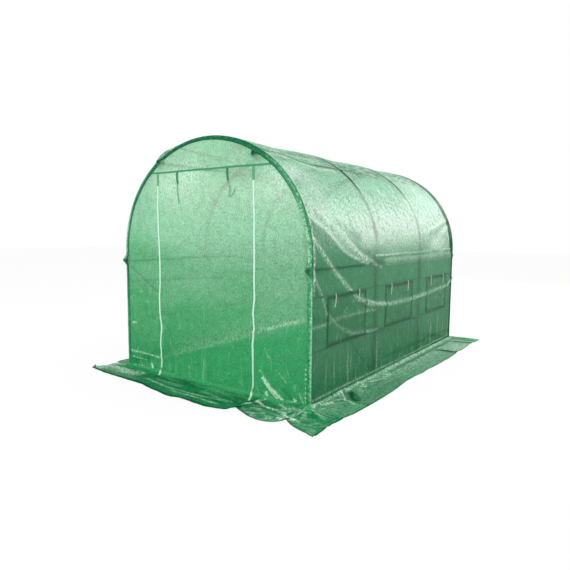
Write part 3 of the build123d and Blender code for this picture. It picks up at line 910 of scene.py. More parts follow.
        # Painted highlight in bright streaks over the haunch, and the patches they thin out between.
        high = ramp(length, 1.1, 0.15)
        streaks = waves((y + 0.35 * (length - 1.1)) / 0.035, (length - 0.3 * y) / 0.3, seed + 6.0)
        relief.lift += 0.0022 * streaks * high
        bright = high * (0.25 + 0.75 * ramp(y, -0.6, 0.5)) * (1.0 - 0.6 * ramp(length, 1.75, 0.2))
        relief.paler(0.7 * bright * ramp(streaks, 0.05, 0.35))
        relief.paler(0.5 * high * ramp(streaks, 0.55, 0.12))
        patches = ramp(waves(y / 0.27, (length - 0.2 * y) / 0.16, seed + 16.0), -0.1, 0.2)
        if side is Side.RIGHT:
            # Glare along the haunch, and the pale rim beside the door end.
            for *place, share in self.glare:
                near = blot(y, length - 0.05 * y, *place)
                relief.paler(share * near * (0.7 + 0.3 * ramp(streaks, -0.3, 0.4)))
            relief.paler(1.3 * fall(y, -1.385, 0.025) * ramp(length, 0.75, 0.2))
            relief.darker(0.12 * ramp(y, 1.33, 0.08) * ramp(length, 1.1, 0.05))
        relief.frost_and_highlight *= 1.0 - 0.4 * high * (1.0 - patches)
        # Painted shade in thin dark creases, strongest in the patches.
        veins = ramp(0.07, np.abs(waves(y / 0.07, (length - 0.3 * y) / 0.11, seed + 18.0)), 0.05)
        relief.darker(0.34 * high * veins * (0.4 + 0.6 * patches))
        if side is Side.RIGHT:
            relief.darker(0.16 * blot(y, length, 0.2, 1.58, 0.6, 0.11))
            # Painted shade in the hollow above the first fold, with the glare taken out of it.
            inside = self.hollow.nearness(y, length)
            relief.frost_and_highlight *= 1.0 - 0.85 * inside
            relief.darker(0.16 * inside)
        # Crumpled brow just below the seam with the crown, painted light and shade on its crumples,
        # and its dark crest mottled with painted shade and light.
        brow = ramp(length, 1.85, 0.08) * fall(length, 2.16, 0.1)
        ridge = waves(y / 0.13, (length - 1.95) / 0.026, seed + 8.0) * brow
        relief.paler(0.7 * ease(ridge / 0.35))
        relief.darker(0.62 * ramp(-ridge, 0.05, 0.28))
        mottle = waves(y / 0.07, length / 0.04, seed + 12.0)
        crest = blot(y, length, -0.12, 1.98, 0.42, 0.13)
        relief.darker(0.75 * crest * ramp(mottle, -0.35, 0.4))
        relief.paler(0.9 * crest * ramp(-mottle, 0.2, 0.2))
        # Painted shadow of the inner hoops as dark bands, with a painted highlight beside each.
        for hoop in self.sizes.hoops[1:-1]:
            band = np.minimum(1.6 * bell(y, hoop, 0.023), 1.0)
            roof = ramp(length, 1.5, 0.3)
            relief.darker(band * (0.14 + 0.28 * high + 0.58 * roof))
            relief.paler(0.7 * high * bell(y - hoop, 0.045, 0.016))
        relief.lift *= quiet
        if side is Side.RIGHT:
            # Below the taut line the film hangs slack; painted shade gives it the deeper colour of the foot, and
            # deepens the hollow too.
            slack = ramp(follow(self.taut, y), length, 0.02)
            relief.drop = 0.55 * slack * np.maximum(length - 0.8, 0.0) * fall(y, -0.45, 0.2)
            relief.drop -= 0.1 * slack * ramp(length, 0.93, 0.05) * ramp(y, -0.35, 0.2)
            relief.drop += 0.07 * self.hollow.nearness(y, length)
        upper = ramp(length, 0.95, 0.15)
        # A dark band along the last hoop, with the paler marks cut back under it.
        last = ease((y - self.sizes.hoops[-1] + 0.065 + 0.07 * upper) / 0.03)
        hem = 0.9 + 0.06 * ramp(waves(y / 0.3, length / 0.09, seed + 14.0), -0.25, 0.4)
        relief.darker(last * hem)
        relief.frost_and_highlight = relief.frost_and_highlight * (1.0 - 0.8 * last)
        relief.crease(y, length, self.right_folds if side is Side.RIGHT else self.left_folds)
        if side is Side.LEFT:
            bulge = blot(y, length, -1.362, 2.03, 0.022, 0.17)
            relief.lift += 0.055 * bulge
            relief.darker(0.7 * bulge * ramp(waves(y / 0.03, length / 0.05, 31.0), -0.3, 0.3))
        return relief

    def shape(self, side: Side) -> Shape:
        """Shape of the cover on one side, by places along the tunnel and lengths from the foot."""
        outline = self.sizes.outline

        def lay(y: Array, length: Array) -> Laid:
            """Place the film."""
            x, z, normal_x, normal_z = outline.at(length)
            relief = self.relief(side, y, length)
            relief.lift *= fall(length, outline.seam(self.sizes.seam_x), 0.12)
            return Laid.at((side.value * (x + relief.lift * normal_x), y, z + relief.lift * normal_z),
                           (y, length), relief)

        return lay

    def crown_shape(self) -> Shape:
        """Shape of the crown strip, from the right seam to the left one."""
        outline = self.sizes.outline
        total = 2 * outline.quarter

        def lay(y: Array, length: Array) -> Laid:
            """Place the film."""
            x, z, normal_x, normal_z = outline.at(length)
            right = self.relief(Side.RIGHT, y, length)
            left = self.relief(Side.LEFT, y, total - length)
            seam = outline.seam(self.sizes.seam_x)
            share = ramp(length, seam, total - 2 * seam)
            lift = right.lift * (1.0 - share) + left.lift * share
            relief = Relief(lift, right.frost_and_highlight * (1.0 - share) + left.frost_and_highlight * share, right.shade, np.zeros(y.shape))
            return Laid.at((x + lift * normal_x, y, z + lift * normal_z), (y, length), relief)

        return lay

    def build(self, film: Material) -> None:
        """Make and dress the five pieces of the cover."""
        outline = self.sizes.outline
        seam = outline.seam(self.sizes.seam_x)
        run = [float(h) for h in self.sizes.hoops]
        for side in Side:
            name = side.name.lower()
            pitch = self.pitch if side is Side.RIGHT else self.far_pitch
            low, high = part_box(f"{name}_window_meshes")
            count = self.sizes.bays
            bay = (run[-1] - run[0]) / count
            half = (high.y - low.y - (count - 1) * bay) / 2 - self.window_lap
            centres = [run[0] + bay * (k + 0.5) for k in range(count)]
            marks = sorted(run + [c - half for c in centres] + [c + half for c in centres])
            levels = [0.0, low.z + self.window_lap, high.z - self.window_lap, outline.spring]
            across = steps(marks, pitch)[::side.value]
            lay = self.shape(side)

            def in_window(middle: Array) -> Array:
                """Faces inside the windows' openings."""
                inside = np.zeros(len(middle), dtype=bool)
                for centre in centres:
                    inside |= np.abs(middle[:, 1] - centre) < half
                return inside & (middle[:, 2] > levels[1]) & (middle[:, 2] < levels[2])

            panel = new_sheet(f"{name}_side_film", across, steps(levels, pitch), lay, openings=in_window)
            finish_piece(panel, film, "roof_film", f"{name}_side_panel")
            near = self.shoulder_pitch if side is Side.RIGHT else self.far_pitch
            rise = steps([outline.spring, seam], near)
            shoulder = new_sheet(f"{name}_haunch_film", steps(run, near)[::side.value], rise, lay)
            finish_piece(shoulder, film, "roof_film", f"{name}_haunch")
        along = steps([seam, 2 * outline.quarter - seam], self.pitch)
        crown = new_sheet("roof_crown_film", steps(run, self.crown_pitch), along, self.crown_shape())
        finish_piece(crown, film, "roof_film", "roof_crown")


@dataclass
class EndSleeve:
    """Film wrapped round an end hoop and stitched to the end wall."""

    sizes: TunnelSizes
    pitch: float = 0.011
    lip: float = 0.017
    swell: float = 0.006

    def shape(self, way: int, hoop: float) -> Shape:
        """Shape of one sleeve.

        Args:
            way: -1 for the door end and 1 for the plain end.
            hoop: Place of the hoop along the tunnel.

        Returns:
            Shape by lengths round the hoop and lengths across the sleeve.
        """
        tube = self.sizes.tube_line
        radius = self.sizes.outline.half_width - tube.half_width
        turn = radius * pi / 2

        def lay(length: Array, across: Array) -> Laid:
            """Place the film."""
            x, z, normal_x, normal_z = tube.at(length)
            angle = np.minimum(across / radius, pi / 2)
            plain = np.maximum(across - turn, 0.0)
            wider = 0.75 * ramp(-x, 0.3, 0.4) if way < 0 else 0.0
            inwards = plain * (1.0 + wider)
            relief = Relief.flat(length)
            # Gathers of the inner edge.
            gather = waves(length / 0.05, across / 0.03, 17.0 + way)
            inner = np.sin(angle) ** 2 * (plain < self.lip - 0.001)
            relief.lift += 0.0012 * gather * inner
            relief.frost_and_highlight = 0.25 * ramp(gather, -0.05, 0.5) * blot(across, across, turn, turn + 0.004, 0.018, 0.018)
            # Painted shade along both edges of the sleeve round the tube, with a mottle between them.
            outer_edge = fall(across, 0.008, 0.009)
            inner_edge = ramp(plain - self.lip, -0.009, 0.004)
            spots = waves(length / 0.03, across / 0.012, 23.0 + way)
            arched = ramp(z, 0.55, 0.3)
            mottle = 0.4 * ramp(spots, 0.1, 0.4) * (0.15 + 0.85 * arched)
            plainer = ramp(x, 0.5, 0.2) * fall(z, 1.3, 0.25) if way < 0 else 0.0
            bared = 0.65 * ramp(x, 0.5, 0.2) if way < 0 else 0.0
            edges = np.maximum(0.95 * outer_edge * (1.0 - bared), 0.95 * inner_edge * (1.0 - 0.8 * plainer))
            relief.shade = np.maximum(edges * (0.4 + 0.6 * arched), mottle * (1.0 - plainer))
            # Painted highlight: a bright line along the turn.
            far = ramp(-x, 0.5, 0.2) * ramp(z, 0.96, 0.05) * fall(z, 1.3, 0.2)
            corner = bell(across, turn * 0.45, 0.0035) * fall(z, 0.8, 0.15)
            corner = np.maximum(corner, 0.6 * far * bell(plain, 0.4 * self.lip, 0.004))
            relief.frost_and_highlight = np.maximum(relief.frost_and_highlight * (0.3 + 0.7 * arched), 4.0 * corner)
            # Painted highlight along the middle of the hem on the right, and a paler lip there.
            centre_highlight = bell(across, 0.7 * turn, 0.009) * ramp(x, 0.4, 0.2) * (0.35 + 0.65 * ramp(-z, -1.85, 0.25))
            relief.paler((1.1 if way < 0 else 0.0) * centre_highlight * ramp(spots, -0.2, 0.5))
            relief.paler(1.6 * plainer * ramp(z, 0.8, 0.3) * ramp(across, 0.9 * turn, 0.004))
            relief.shade *= (1.0 - 0.25 * ramp(-x, 0.3, 0.4)) * (1.0 - 0.9 * corner)
            relief.darker(0.8 * ramp(z, 1.6, 0.25) * (1.0 - 0.45 * ease(spots / 0.4)))
            relief.shade *= 1.0 - (0.75 if way < 0 else 0.0) * centre_highlight
            if way > 0:
                relief.darker(0.65)
            reach = radius + relief.lift
            out = reach * np.cos(angle) - inwards
            x = x + out * normal_x
            z = z + out * normal_z
            push = self.sizes.tents(x, z) * np.sin(angle)
            relief.darker(0.9 * (push / self.sizes.tent_reach) ** 1.3)
            stand = 0.0025 * ease(plain / 0.008) + self.swell * np.sin(pi * np.clip(plain / self.lip, 0.0, 1.0))
            forward = reach * np.sin(angle) + push + stand
            return Laid.at((x, hoop + way * forward, z), (length, across), relief)

        return lay

    def build(self, film: Material) -> None:
        """Make and dress both sleeves."""
        tube = self.sizes.tube_line
        radius = self.sizes.outline.half_width - tube.half_width
        across = steps([0.0, radius * pi / 2, radius * pi / 2 + self.lip], 0.0035)
        for name, way, hoop in (("front", -1, self.sizes.hoops[0]), ("rear", 1, self.sizes.hoops[-1])):
            around = steps([0.0, 2 * tube.quarter], self.pitch)[::-way]
            sleeve = new_sheet(f"{name}_sleeve_film", around, across, self.shape(way, float(hoop)))
            finish_piece(sleeve, film, "hem_film", f"{name}_hem")


def upright(x: float) -> Edge:
    """Straight upright edge at a place across the wall."""

    def edge(z: Array) -> Array:
        """The same place at every height."""
        return np.full(np.shape(z), x)

    return edge


@dataclass
class EndWall:
    """Shared shape of both end walls: a film sheet inside the sleeve's lip."""

    sizes: TunnelSizes
    lip: float = 0.013
    pitch: float = 0.0095

    @property
    def edge(self) -> HoopLine:
        """Outline of the wall, at the sleeve's lip."""
        return HoopLine(self.sizes.tube_line.half_width - self.lip)

    def columns(self, low: float, high: float, pitch: float) -> Array:
        """Places across the wall, no further apart than pitch and closer where the outline is steep."""
        half = self.edge.half_width
        places = [x for x in steps([low, high], pitch) if abs(x) < 0.86 or pitch < self.pitch]
        places += [low, high]
        turns = np.linspace(0.0, radians(35.0), 14)
        for value in self.edge.inset + self.edge.haunch_radius * np.cos(turns):
            for x in (value, -value):
                if low < x < high:
                    places.append(x)
        for x, way in ((low, 1), (high, -1)):
            places.append(x + 0.009 * way)
        places = sorted(places)
        kept = [places[0]]
        for x in places[1:]:
            if x - kept[-1] > 0.0012:
                kept.append(x)
        kept[-1] = min(high, half)
        return np.array(kept)


@dataclass
class DoorEnd(EndWall):
    """Front wall: zipped door, side panels and top panel, with zips, header, straps and toggles."""

    left_zip: Line = (
        (-0.03, -0.56), (0.04, -0.544), (0.13, -0.534), (0.26, -0.549), (0.41, -0.528), (0.54, -0.551),
        (0.68, -0.551), (0.81, -0.538), (0.94, -0.541), (1.07, -0.543), (1.27, -0.551), (1.47, -0.555),
        (1.6, -0.549), (1.75, -0.547))
    right_zip: Line = (
        (-0.03, 0.455), (0.02, 0.468), (0.09, 0.482), (0.28, 0.482), (0.4, 0.476), (0.52, 0.494),
        (0.64, 0.483), (0.76, 0.495), (0.88, 0.491), (1.1, 0.494), (1.22, 0.489), (1.33, 0.493),
        (1.45, 0.487), (1.6, 0.484), (1.75, 0.487))
    folds: tuple[Fold, ...] = folds(
        (0.006, 0.022, 0.12, 0.0, -0.54, 0.15, -0.25, 0.25, 0.04, 0.343, 0.37, 0.45, 0.58, 0.53),
        (0.007, 0.018, 0.7, 0.0, 0.54, 0.505, 0.8, 0.592, 0.96, 0.637),
        (0.004, 0.01, 0.3, 0.0, 0.5, 0.584, 0.578, 0.504),
        (0.003, 0.012, 0.15, 0.0, 0.5, 0.56, 0.66, 0.7, 0.9, 0.86),
        # The next rows paint highlights on the wrinkles at the lower right.
        (0.01, 0.0075, 6.0, 0.0, 0.575, 0.155, 0.66, 0.085, 0.81, -0.01),
        (0.01, 0.0075, 5.0, 0.0, 0.6, 0.125, 0.68, 0.045, 0.76, -0.01),
        (0.004, 0.013, 1.2, 0.0, 0.63, 0.105, 0.7, 0.045, 0.78, -0.005),
        (0.01, 0.01, 6.0, 0.0, 0.612, 0.045, 0.635, -0.01),
        (0.01, 0.012, 6.0, 0.0, 0.868, 0.035, 0.855, -0.01),
        (0.008, 0.006, 0.9, 0.0, 0.9, 0.1, 0.955, 0.01),
        (0.006, 0.006, 0.8, 0.0, 0.55, 0.21, 0.62, 0.13),
        (0.004, 0.005, 0.5, 0.0, 0.7, 0.24, 0.8, 0.15),
        (-0.005, 0.01, 0.0, 0.5, 0.67, 0.045, 0.72, -0.01),
        (-0.005, 0.012, 0.0, 0.4, 0.76, 0.1, 0.86, 0.02),
        (0.004, 0.008, 1.0, 0.0, -0.96, 0.155, -0.75, 0.15, -0.56, 0.14),
        (0.004, 0.006, 0.8, 0.0, -0.92, 0.1, -0.74, 0.095),
        (0.004, 0.007, 0.8, 0.0, -0.95, 0.02, -0.8, 0.03, -0.6, 0.0),
        (0.004, 0.009, 5.0, 0.0, -0.668, 0.065, -0.655, 0.03, -0.685, -0.01),
        (0.004, 0.02, 0.12, 0.0, -0.96, 0.93, -0.75, 1.15, -0.6, 1.35, -0.5, 1.55),
        (0.003, 0.02, 0.15, 0.0, 0.95, 1.0, 0.7, 1.2, 0.55, 1.3),
        (0.002, 0.006, 1.6, 0.0, -0.92, 0.415, -0.865, 0.42),
        (0.004, 0.012, 2.0, 0.0, -0.965, 0.06, -0.965, 0.0),
        # The next seven rows paint the shadows of the far side's rails, brace and seams behind the film as thin dark
        # lines.
        (0.001, 0.007, 0.0, 0.6, -0.975, 0.967, -0.6, 0.995),
        (0.001, 0.008, 0.0, 0.34, -0.6, 0.995, -0.259, 1.022, 0.305, 1.057),
        (0.001, 0.008, 0.0, 0.26, -0.96, 0.788, -0.298, 0.846, 0.203, 0.891),
        (0.001, 0.007, 0.0, 0.55, -0.972, 0.953, -0.547, 0.701),
        (0.001, 0.009, 0.0, 0.22, -0.547, 0.701, -0.071, 0.525),
        (0.001, 0.011, 0.0, 0.42, -0.6, 1.805, -0.2, 1.752, 0.105, 1.702),
        (0.001, 0.009, 0.0, 0.36, -0.248, 1.901, 0.0, 1.83, 0.283, 1.756),
        (0.003, 0.01, 0.2, 0.1, 0.06, 0.97, 0.3, 1.22, 0.62, 1.44, 0.8, 1.52),
        (0.003, 0.01, 0.15, 0.08, -0.42, 0.62, -0.2, 0.9, -0.05, 1.3, 0.1, 1.5),
        (0.003, 0.01, 0.12, 0.08, 0.0, 1.25, 0.18, 1.1, 0.46, 0.92),
    )

    @property
    def face(self) -> float:
        """Place of the wall film's middle along the tunnel."""
        return self.sizes.front + self.sizes.film / 2

    def relief(self, x: Array, z: Array) -> Relief:
        """Relief of the whole front wall."""
        relief = Relief.flat(x)
        edge = self.edge.height_over(x)
        near_edge = ramp(self.edge.half_width, np.abs(x), 0.05) * ramp(edge, z, 0.05)
        relief.crumple(x, z, 0.003, 0.12, 71.0, 1.4)
        # Puckers along the foot, with painted highlights on them.
        puckers = waves(x / 0.035, z / 0.16, 75.0)
        low = fall(z, 0.02, 0.16)
        relief.lift += 0.004 * puckers * low
        relief.frost_and_highlight = 0.3 * low * ramp(puckers, 0.2, 0.4)
        relief.crease(x, z, self.folds)
        # A slanting ridge, with painted shade giving the deeper colour below it and a painted highlight fading up
        # above it.
        ridge = np.interp(x, [-0.55, -0.25, 0.37, 0.8, 0.96], [0.12, 0.22, 0.42, 0.58, 0.62])
        relief.drop = (0.35 - 0.11 * ramp(x, 0.42, 0.1)) * ramp(ridge, z, 0.03 + 0.06 * ramp(x, 0.4, 0.15)) * ramp(
            x, -0.6, 0.12)
        above = ramp(z, ridge, 0.012) * np.exp(-np.maximum(z - ridge, 0.0) / 0.10) * ramp(x, -0.55, 0.3)
        relief.paler(0.42 * above)
        for *place, share in ((-0.36, 1.61, 0.24, 0.13, 0.8), (0.68, 1.56, 0.2, 0.17, 0.7),
                              (-0.28, 1.78, 0.16, 0.05, 0.5), (-0.2, 0.83, 0.42, 0.07, 0.2),
                              (-0.22, 1.7, 0.22, 0.13, 1.3), (0.77, 1.66, 0.16, 0.14, 1.5),
                              (-0.1, 1.86, 0.1, 0.06, 0.5)):
            relief.paler(share * blot(x, z, *place))
        # Broad patches of deeper and paler colour.
        relief.drop += 0.27 * ramp(-0.25, x, 0.6) * fall(z, 1.68, 0.14) * ramp(z, 0.82, 0.3)
        relief.drop += 0.6 * ramp(x, 0.15, 0.35) * ramp(z, 1.72, 0.02)
        relief.drop -= 0.14 * ramp(-0.4, x, 0.15) * fall(z, 0.5, 0.2)
        for *place, share in ((-0.02, 0.7, 0.55, 0.11, -0.14), (-0.42, 1.03, 0.26, 0.1, 0.09),
                              (-0.44, 0.64, 0.2, 0.09, -0.12), (0.36, 0.72, 0.18, 0.08, -0.07)):
            relief.drop += share * blot(x, z, *place)
        for *place, share in ((0.3, 1.87, 0.16, 0.1, 0.33), (-0.95, 1.32, 0.12, 0.2, 0.14),
                              (-0.72, 1.7, 0.15, 0.14, 0.2)):
            relief.darker(share * blot(x, z, *place))
        relief.drop -= 0.12 * ramp(x, 0.5, 0.06) * ramp(z, ridge, 0.05) * fall(z, 0.8, 0.2)
        relief.darker(0.09 * ramp(-0.56, x, 0.12) * ramp(z, 0.9, 0.2) * fall(z, 1.55, 0.15))
        relief.darker(0.12 * ramp(z, 1.72, 0.02) * fall(x, 0.1, 0.3))
        # Pale rungs beside the right leg's foot.
        rungs = ramp(np.sin(z * 2 * pi / 0.034), -0.1, 0.5)
        column = bell(x, 0.962, 0.009) * fall(z, 0.28, 0.05)
        relief.paler(1.5 * column * rungs)
        relief.lift *= near_edge
        return relief

    def wall_shape(self, left: Edge, right: Edge, foot: float) -> Shape:
        """Shape of one panel between two upright edges.

        Args:
            left: Gives the left edge's place across the wall at heights.
            right: The same for the right edge.
            foot: Height of the panel's foot.

        Returns:
            Shape by shares across the panel and shares of its height.
        """
        def lay(share: Array, rise: Array) -> Laid:
            """Place the film."""
            guess = left(np.full(share.shape, 0.8)) * (1.0 - share) + right(np.full(share.shape, 0.8)) * share
            top = self.edge.height_over(guess)
            if foot < self.header:
                top = np.minimum(top, self.header)
            z = foot + (np.maximum(top, foot + 0.0005) - foot) * rise
            x = left(z) * (1.0 - share) + right(z) * share
            relief = self.relief(x, z)
            push = self.sizes.tents(x, z)
            relief.darker(0.95 * (push / self.sizes.tent_reach) ** 1.2)
            beside = np.minimum(np.abs(x - follow(self.left_zip, z)), np.abs(x - follow(self.right_zip, z)))
            relief.darker(0.75 * np.clip(1.0 - beside / 0.014, 0.0, 1.0) * (z < self.header))
            return Laid.at((x, self.face - (relief.lift + push), z), (x, z), relief)

        return lay

    @property
    def header(self) -> float:
        """Height of the joint between the door and the top panel."""
        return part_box("door_panel")[1].z

    def panels(self, film: Material) -> None:
        """Make and dress the four film panels."""
        half = self.edge.half_width
        on_left, on_right = partial(follow, self.left_zip), partial(follow, self.right_zip)
        top_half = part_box("front_top_panel")[1].x
        plan = (
            ("front_left_panel", upright(-half), on_left, 0.0, (-half, LEFT_ZIP_X)),
            ("door_panel", on_left, on_right, 0.0, (LEFT_ZIP_X, RIGHT_ZIP_X)),
            ("front_right_panel", on_right, upright(half), 0.0, (RIGHT_ZIP_X, half)),
            ("front_top_panel", upright(-top_half), upright(top_half), self.header, (-top_half, top_half)),
        )
        for node, left, right, foot, (low, high) in plan:
            narrow = high - low < 0.6
            places = self.columns(low, high, 0.0065 if narrow else self.pitch)
            shares = (places - low) / (high - low)
            top = float(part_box(node)[1].z)
            rises = steps([0.0, 1.0], self.pitch / (top - foot))
            if narrow:
                fine = 0.32 / (top - foot)
                rises = np.append(steps([0.0, fine], 0.0055 / (top - foot)),
                                  steps([fine, 1.0], self.pitch / (top - foot))[1:])
            lay = self.wall_shape(left, right, foot)
            panel = finish_piece(new_sheet(f"{node}_film", shares, rises, lay), film, "end_film", node)
            grid_area(shares, rises, lay)

    def strip(self, name: str, centre: Edge, width: float, heights: tuple[float, float], stand: float,
              thickness: float = 0.0012, pitch: float = 0.008, profile: Profile | None = None) -> Piece:
        """Flat tape that follows a line up the wall.

        Args:
            name: Name of the piece.
            centre: Gives the tape's middle across the wall at heights.
            width: Width of the tape.
            heights: Its lowest and highest point.
            stand: How far its middle stands off the wall film.
            thickness: Thickness of the tape.
            pitch: Distance between its rows.
            profile: Extra stand at shares of the width and heights.

        Returns:
            The tape.
        """
        def lay(share: Array, z: Array) -> Laid:
            """Place the tape."""
            x = centre(z) + (share - 0.5) * width
            forward = self.relief(x, z).lift + self.sizes.tents(x, z) + stand
            if profile is not None:
                forward = forward + profile(share, z)
            return Laid.at((x, self.face - forward, z), ((share - 0.5) * width, z))

        return new_sheet(name, np.linspace(0.0, 1.0, 9), steps(list(heights), pitch), lay, thickness)

    def zips(self, looks: Looks) -> None:
        """Make both zips with their teeth, their garages and their sliders."""
        low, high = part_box("left_zip")
        slider_height = 0.05
        garages, sliders = [], []
        for name, line in (("left_zip", self.left_zip), ("right_zip", self.right_zip)):
            centre = partial(follow, line)
            piece = self.strip(f"{name}_tape", centre, high.x - low.x + 0.002, (low.z, high.z), 0.0018, 0.0008,
                               0.004, zip_teeth)
            finish_piece(piece, looks["zip_tape"], "zip_tape", name)
            garages.append(self.strip(f"{name}_garage", centre, 0.022, (high.z, high.z + 0.1), 0.0022, 0.0014, 0.01))
            sliders.append(self.slider(name, float(centre(slider_height)), slider_height))
        finish_piece(join_pieces("zip_garage_patches", garages), looks["garage_film"], "garage_film", "zip_garages")
        finish_piece(join_pieces("zip_sliders", sliders), looks["bolt_zinc"], "joint_steel")

    def slider(self, name: str, x: float, z: float) -> Piece:
        """Zip slider with its hanging pull."""
        y = self.sizes.front - 0.0065
        deselect()
        bpy.ops.mesh.primitive_cube_add(size=1.0, location=(x, y, z), scale=(0.011, 0.005, 0.016))
        body = newest()
        with editing():
            bpy.ops.mesh.bevel(offset=0.0018, segments=3, affect="EDGES")
        deselect()
        bpy.ops.mesh.primitive_torus_add(
            location=(x, y - 0.003, z - 0.014), rotation=(pi / 2, 0.0, 0.0), major_radius=0.008,
            minor_radius=0.0012, major_segments=24, minor_segments=8)
        piece = join_pieces(f"{name}_slider", [body, newest()])
        smooth(piece)
        return piece

    def header_piece(self, webbing: Material) -> None:
        """Webbing over the joint between the door and the top panel."""
        low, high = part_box("header_band")

        def lay(x: Array, share: Array) -> Laid:
            """Place the webbing."""
            droop = 0.004 * waves(x / 0.3, share * 0.0, 7.7)
            z = low.z + (high.z - low.z) * share + droop
            forward = self.relief(x, z).lift + 0.0022
            return Laid.at((x, self.face - forward, z), (x, share * (high.z - low.z)))

        band = new_sheet("header_webbing", steps([low.x, high.x], 0.01), np.linspace(0.0, 1.0, 4), lay, 0.0014)
        finish_piece(band, webbing, "seam_webbing", "header_band")

    def straps(self, looks: Looks) -> None:
        """Make the door straps and their toggles."""
        toggle_low, toggle_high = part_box("strap_toggles")
        left_low, left_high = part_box("left_door_strap")
        right_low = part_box("right_door_strap")[0]
        left_x = (left_low.x + left_high.x) / 2
        z = (toggle_low.z + toggle_high.z) / 2
        toggles = []
        for x in (left_x, right_low.x + 0.006):
            deselect()
            bpy.ops.mesh.primitive_cube_add(size=1.0, location=(x, self.sizes.front - 0.0055, z),
                                            scale=(0.02, 0.004, toggle_high.z - toggle_low.z))
            tab = newest()
            with editing():
                bpy.ops.mesh.subdivide(number_cuts=5)
            for vertex in tab.data.vertices:
                drop = (toggle_high.z - vertex.co.z) / 0.095
                vertex.co.x = x + (vertex.co.x - x) * (1.0 - 0.35 * drop) + 0.006 * drop * drop
                vertex.co.y -= 0.005 * np.sin(pi * min(max(drop, 0.0), 1.0))
            with editing():
                bpy.ops.mesh.select_all(action="SELECT")
                bpy.ops.mesh.vertices_smooth(factor=0.4, repeat=1)
            apply_modifier(tab, "BEVEL", width=0.0008, segments=2, limit_method="ANGLE")
            smooth(tab)
            toggles.append(tab)
        piece = join_pieces("door_strap_toggles", toggles)
        finish_piece(piece, looks["toggle_webbing"], "strap_webbing", "strap_toggles")
        top = left_high.z + 0.006
        line_left = ((left_x, top), (left_x + 0.003, 1.56), (left_x + 0.008, 1.51), (left_x + 0.013, 1.475),
                     (left_x + 0.008, left_low.z))
        line_right = ((right_low.x + 0.008, top), (0.246, 1.6), (0.256, 1.575), (0.262, 1.55), (0.252, 1.525),
                      (0.245, 1.508), (0.262, 1.504), (0.285, 1.52), (0.3, 1.54), (0.309, 1.562))
        for name, line in (("left_door_strap", line_left), ("right_door_strap", line_right)):
            finish_piece(self.curved_tape(f"{name}_webbing", line), looks["strap_webbing"], "strap_webbing", name)

    def curved_tape(self, name: str, line: Line, width: float = 0.01) -> Piece:
        """Flat tape along a line of points on the wall, its corners cut three times."""
        route = np.array(line)
        for _ in range(3):
            near = route[:-1] * 0.75 + route[1:] * 0.25
            far = route[:-1] * 0.25 + route[1:] * 0.75
            route = np.concatenate([route[:1], np.column_stack([near, far]).reshape(-1, 2), route[-1:]])
        middle = Route(route)

        def lay(share: Array, length: Array) -> Laid:
            """Place the tape."""
            off = (share - 0.5) * width
            x, z = middle.beside(length, off)
            curl = 0.002 * np.sin(length / 0.03) + 0.004
            return Laid.at((x, self.sizes.front - curl - 0.002, z), (off, length))

        rows = steps([0.0, float(middle.run[-1])], 0.005)
        return new_sheet(name, np.linspace(0.0, 1.0, 5)[::-1], rows, lay, 0.0014)

    def build(self, looks: Looks) -> None:
        """Make and dress the door end."""
        self.panels(looks["end_film"])
        self.zips(looks)
        self.header_piece(looks["seam_webbing"])
        self.straps(looks)


@dataclass
class PlainEnd(EndWall):
    """Rear wall: one sheet of film."""

    pitch: float = 0.02

    def build(self, film: Material) -> None:
        """Make and dress the rear wall."""
        half = self.edge.half_width
        places = self.columns(-half, half, self.pitch)[::-1]
        rises = steps([0.0, 1.0], self.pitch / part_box("rear_wall")[1].z)
        slack_folds = folds((0.006, 0.03, 0.4, 0.0, -0.95, 1.1, -0.3, 0.85, 0.4, 0.8, 0.95, 1.0),
                            (0.005, 0.025, 0.35, 0.0, -0.9, 0.3, -0.2, 0.42, 0.6, 0.3, 0.95, 0.12))

        def lay(x: Array, rise: Array) -> Laid:
            """Place the film."""
            z = np.maximum(self.edge.height_over(x), 0.001) * rise
            relief = Relief.flat(x)
            relief.crumple(x, z, 0.003, 0.13, 91.0, 1.4)
            relief.crease(x, z, slack_folds)
            near_edge = ramp(half, np.abs(x), 0.05) * ramp(self.edge.height_over(x), z, 0.05)
            relief.lift *= near_edge
            back = relief.lift + self.sizes.tents(x, z)
            return Laid.at((x, self.sizes.rear - self.sizes.film / 2 + back, z), (x, z), relief)

        wall = finish_piece(new_sheet("rear_wall_film", places, rises, lay), film, "end_film", "rear_wall")
        grid_area(places, rises, lay)


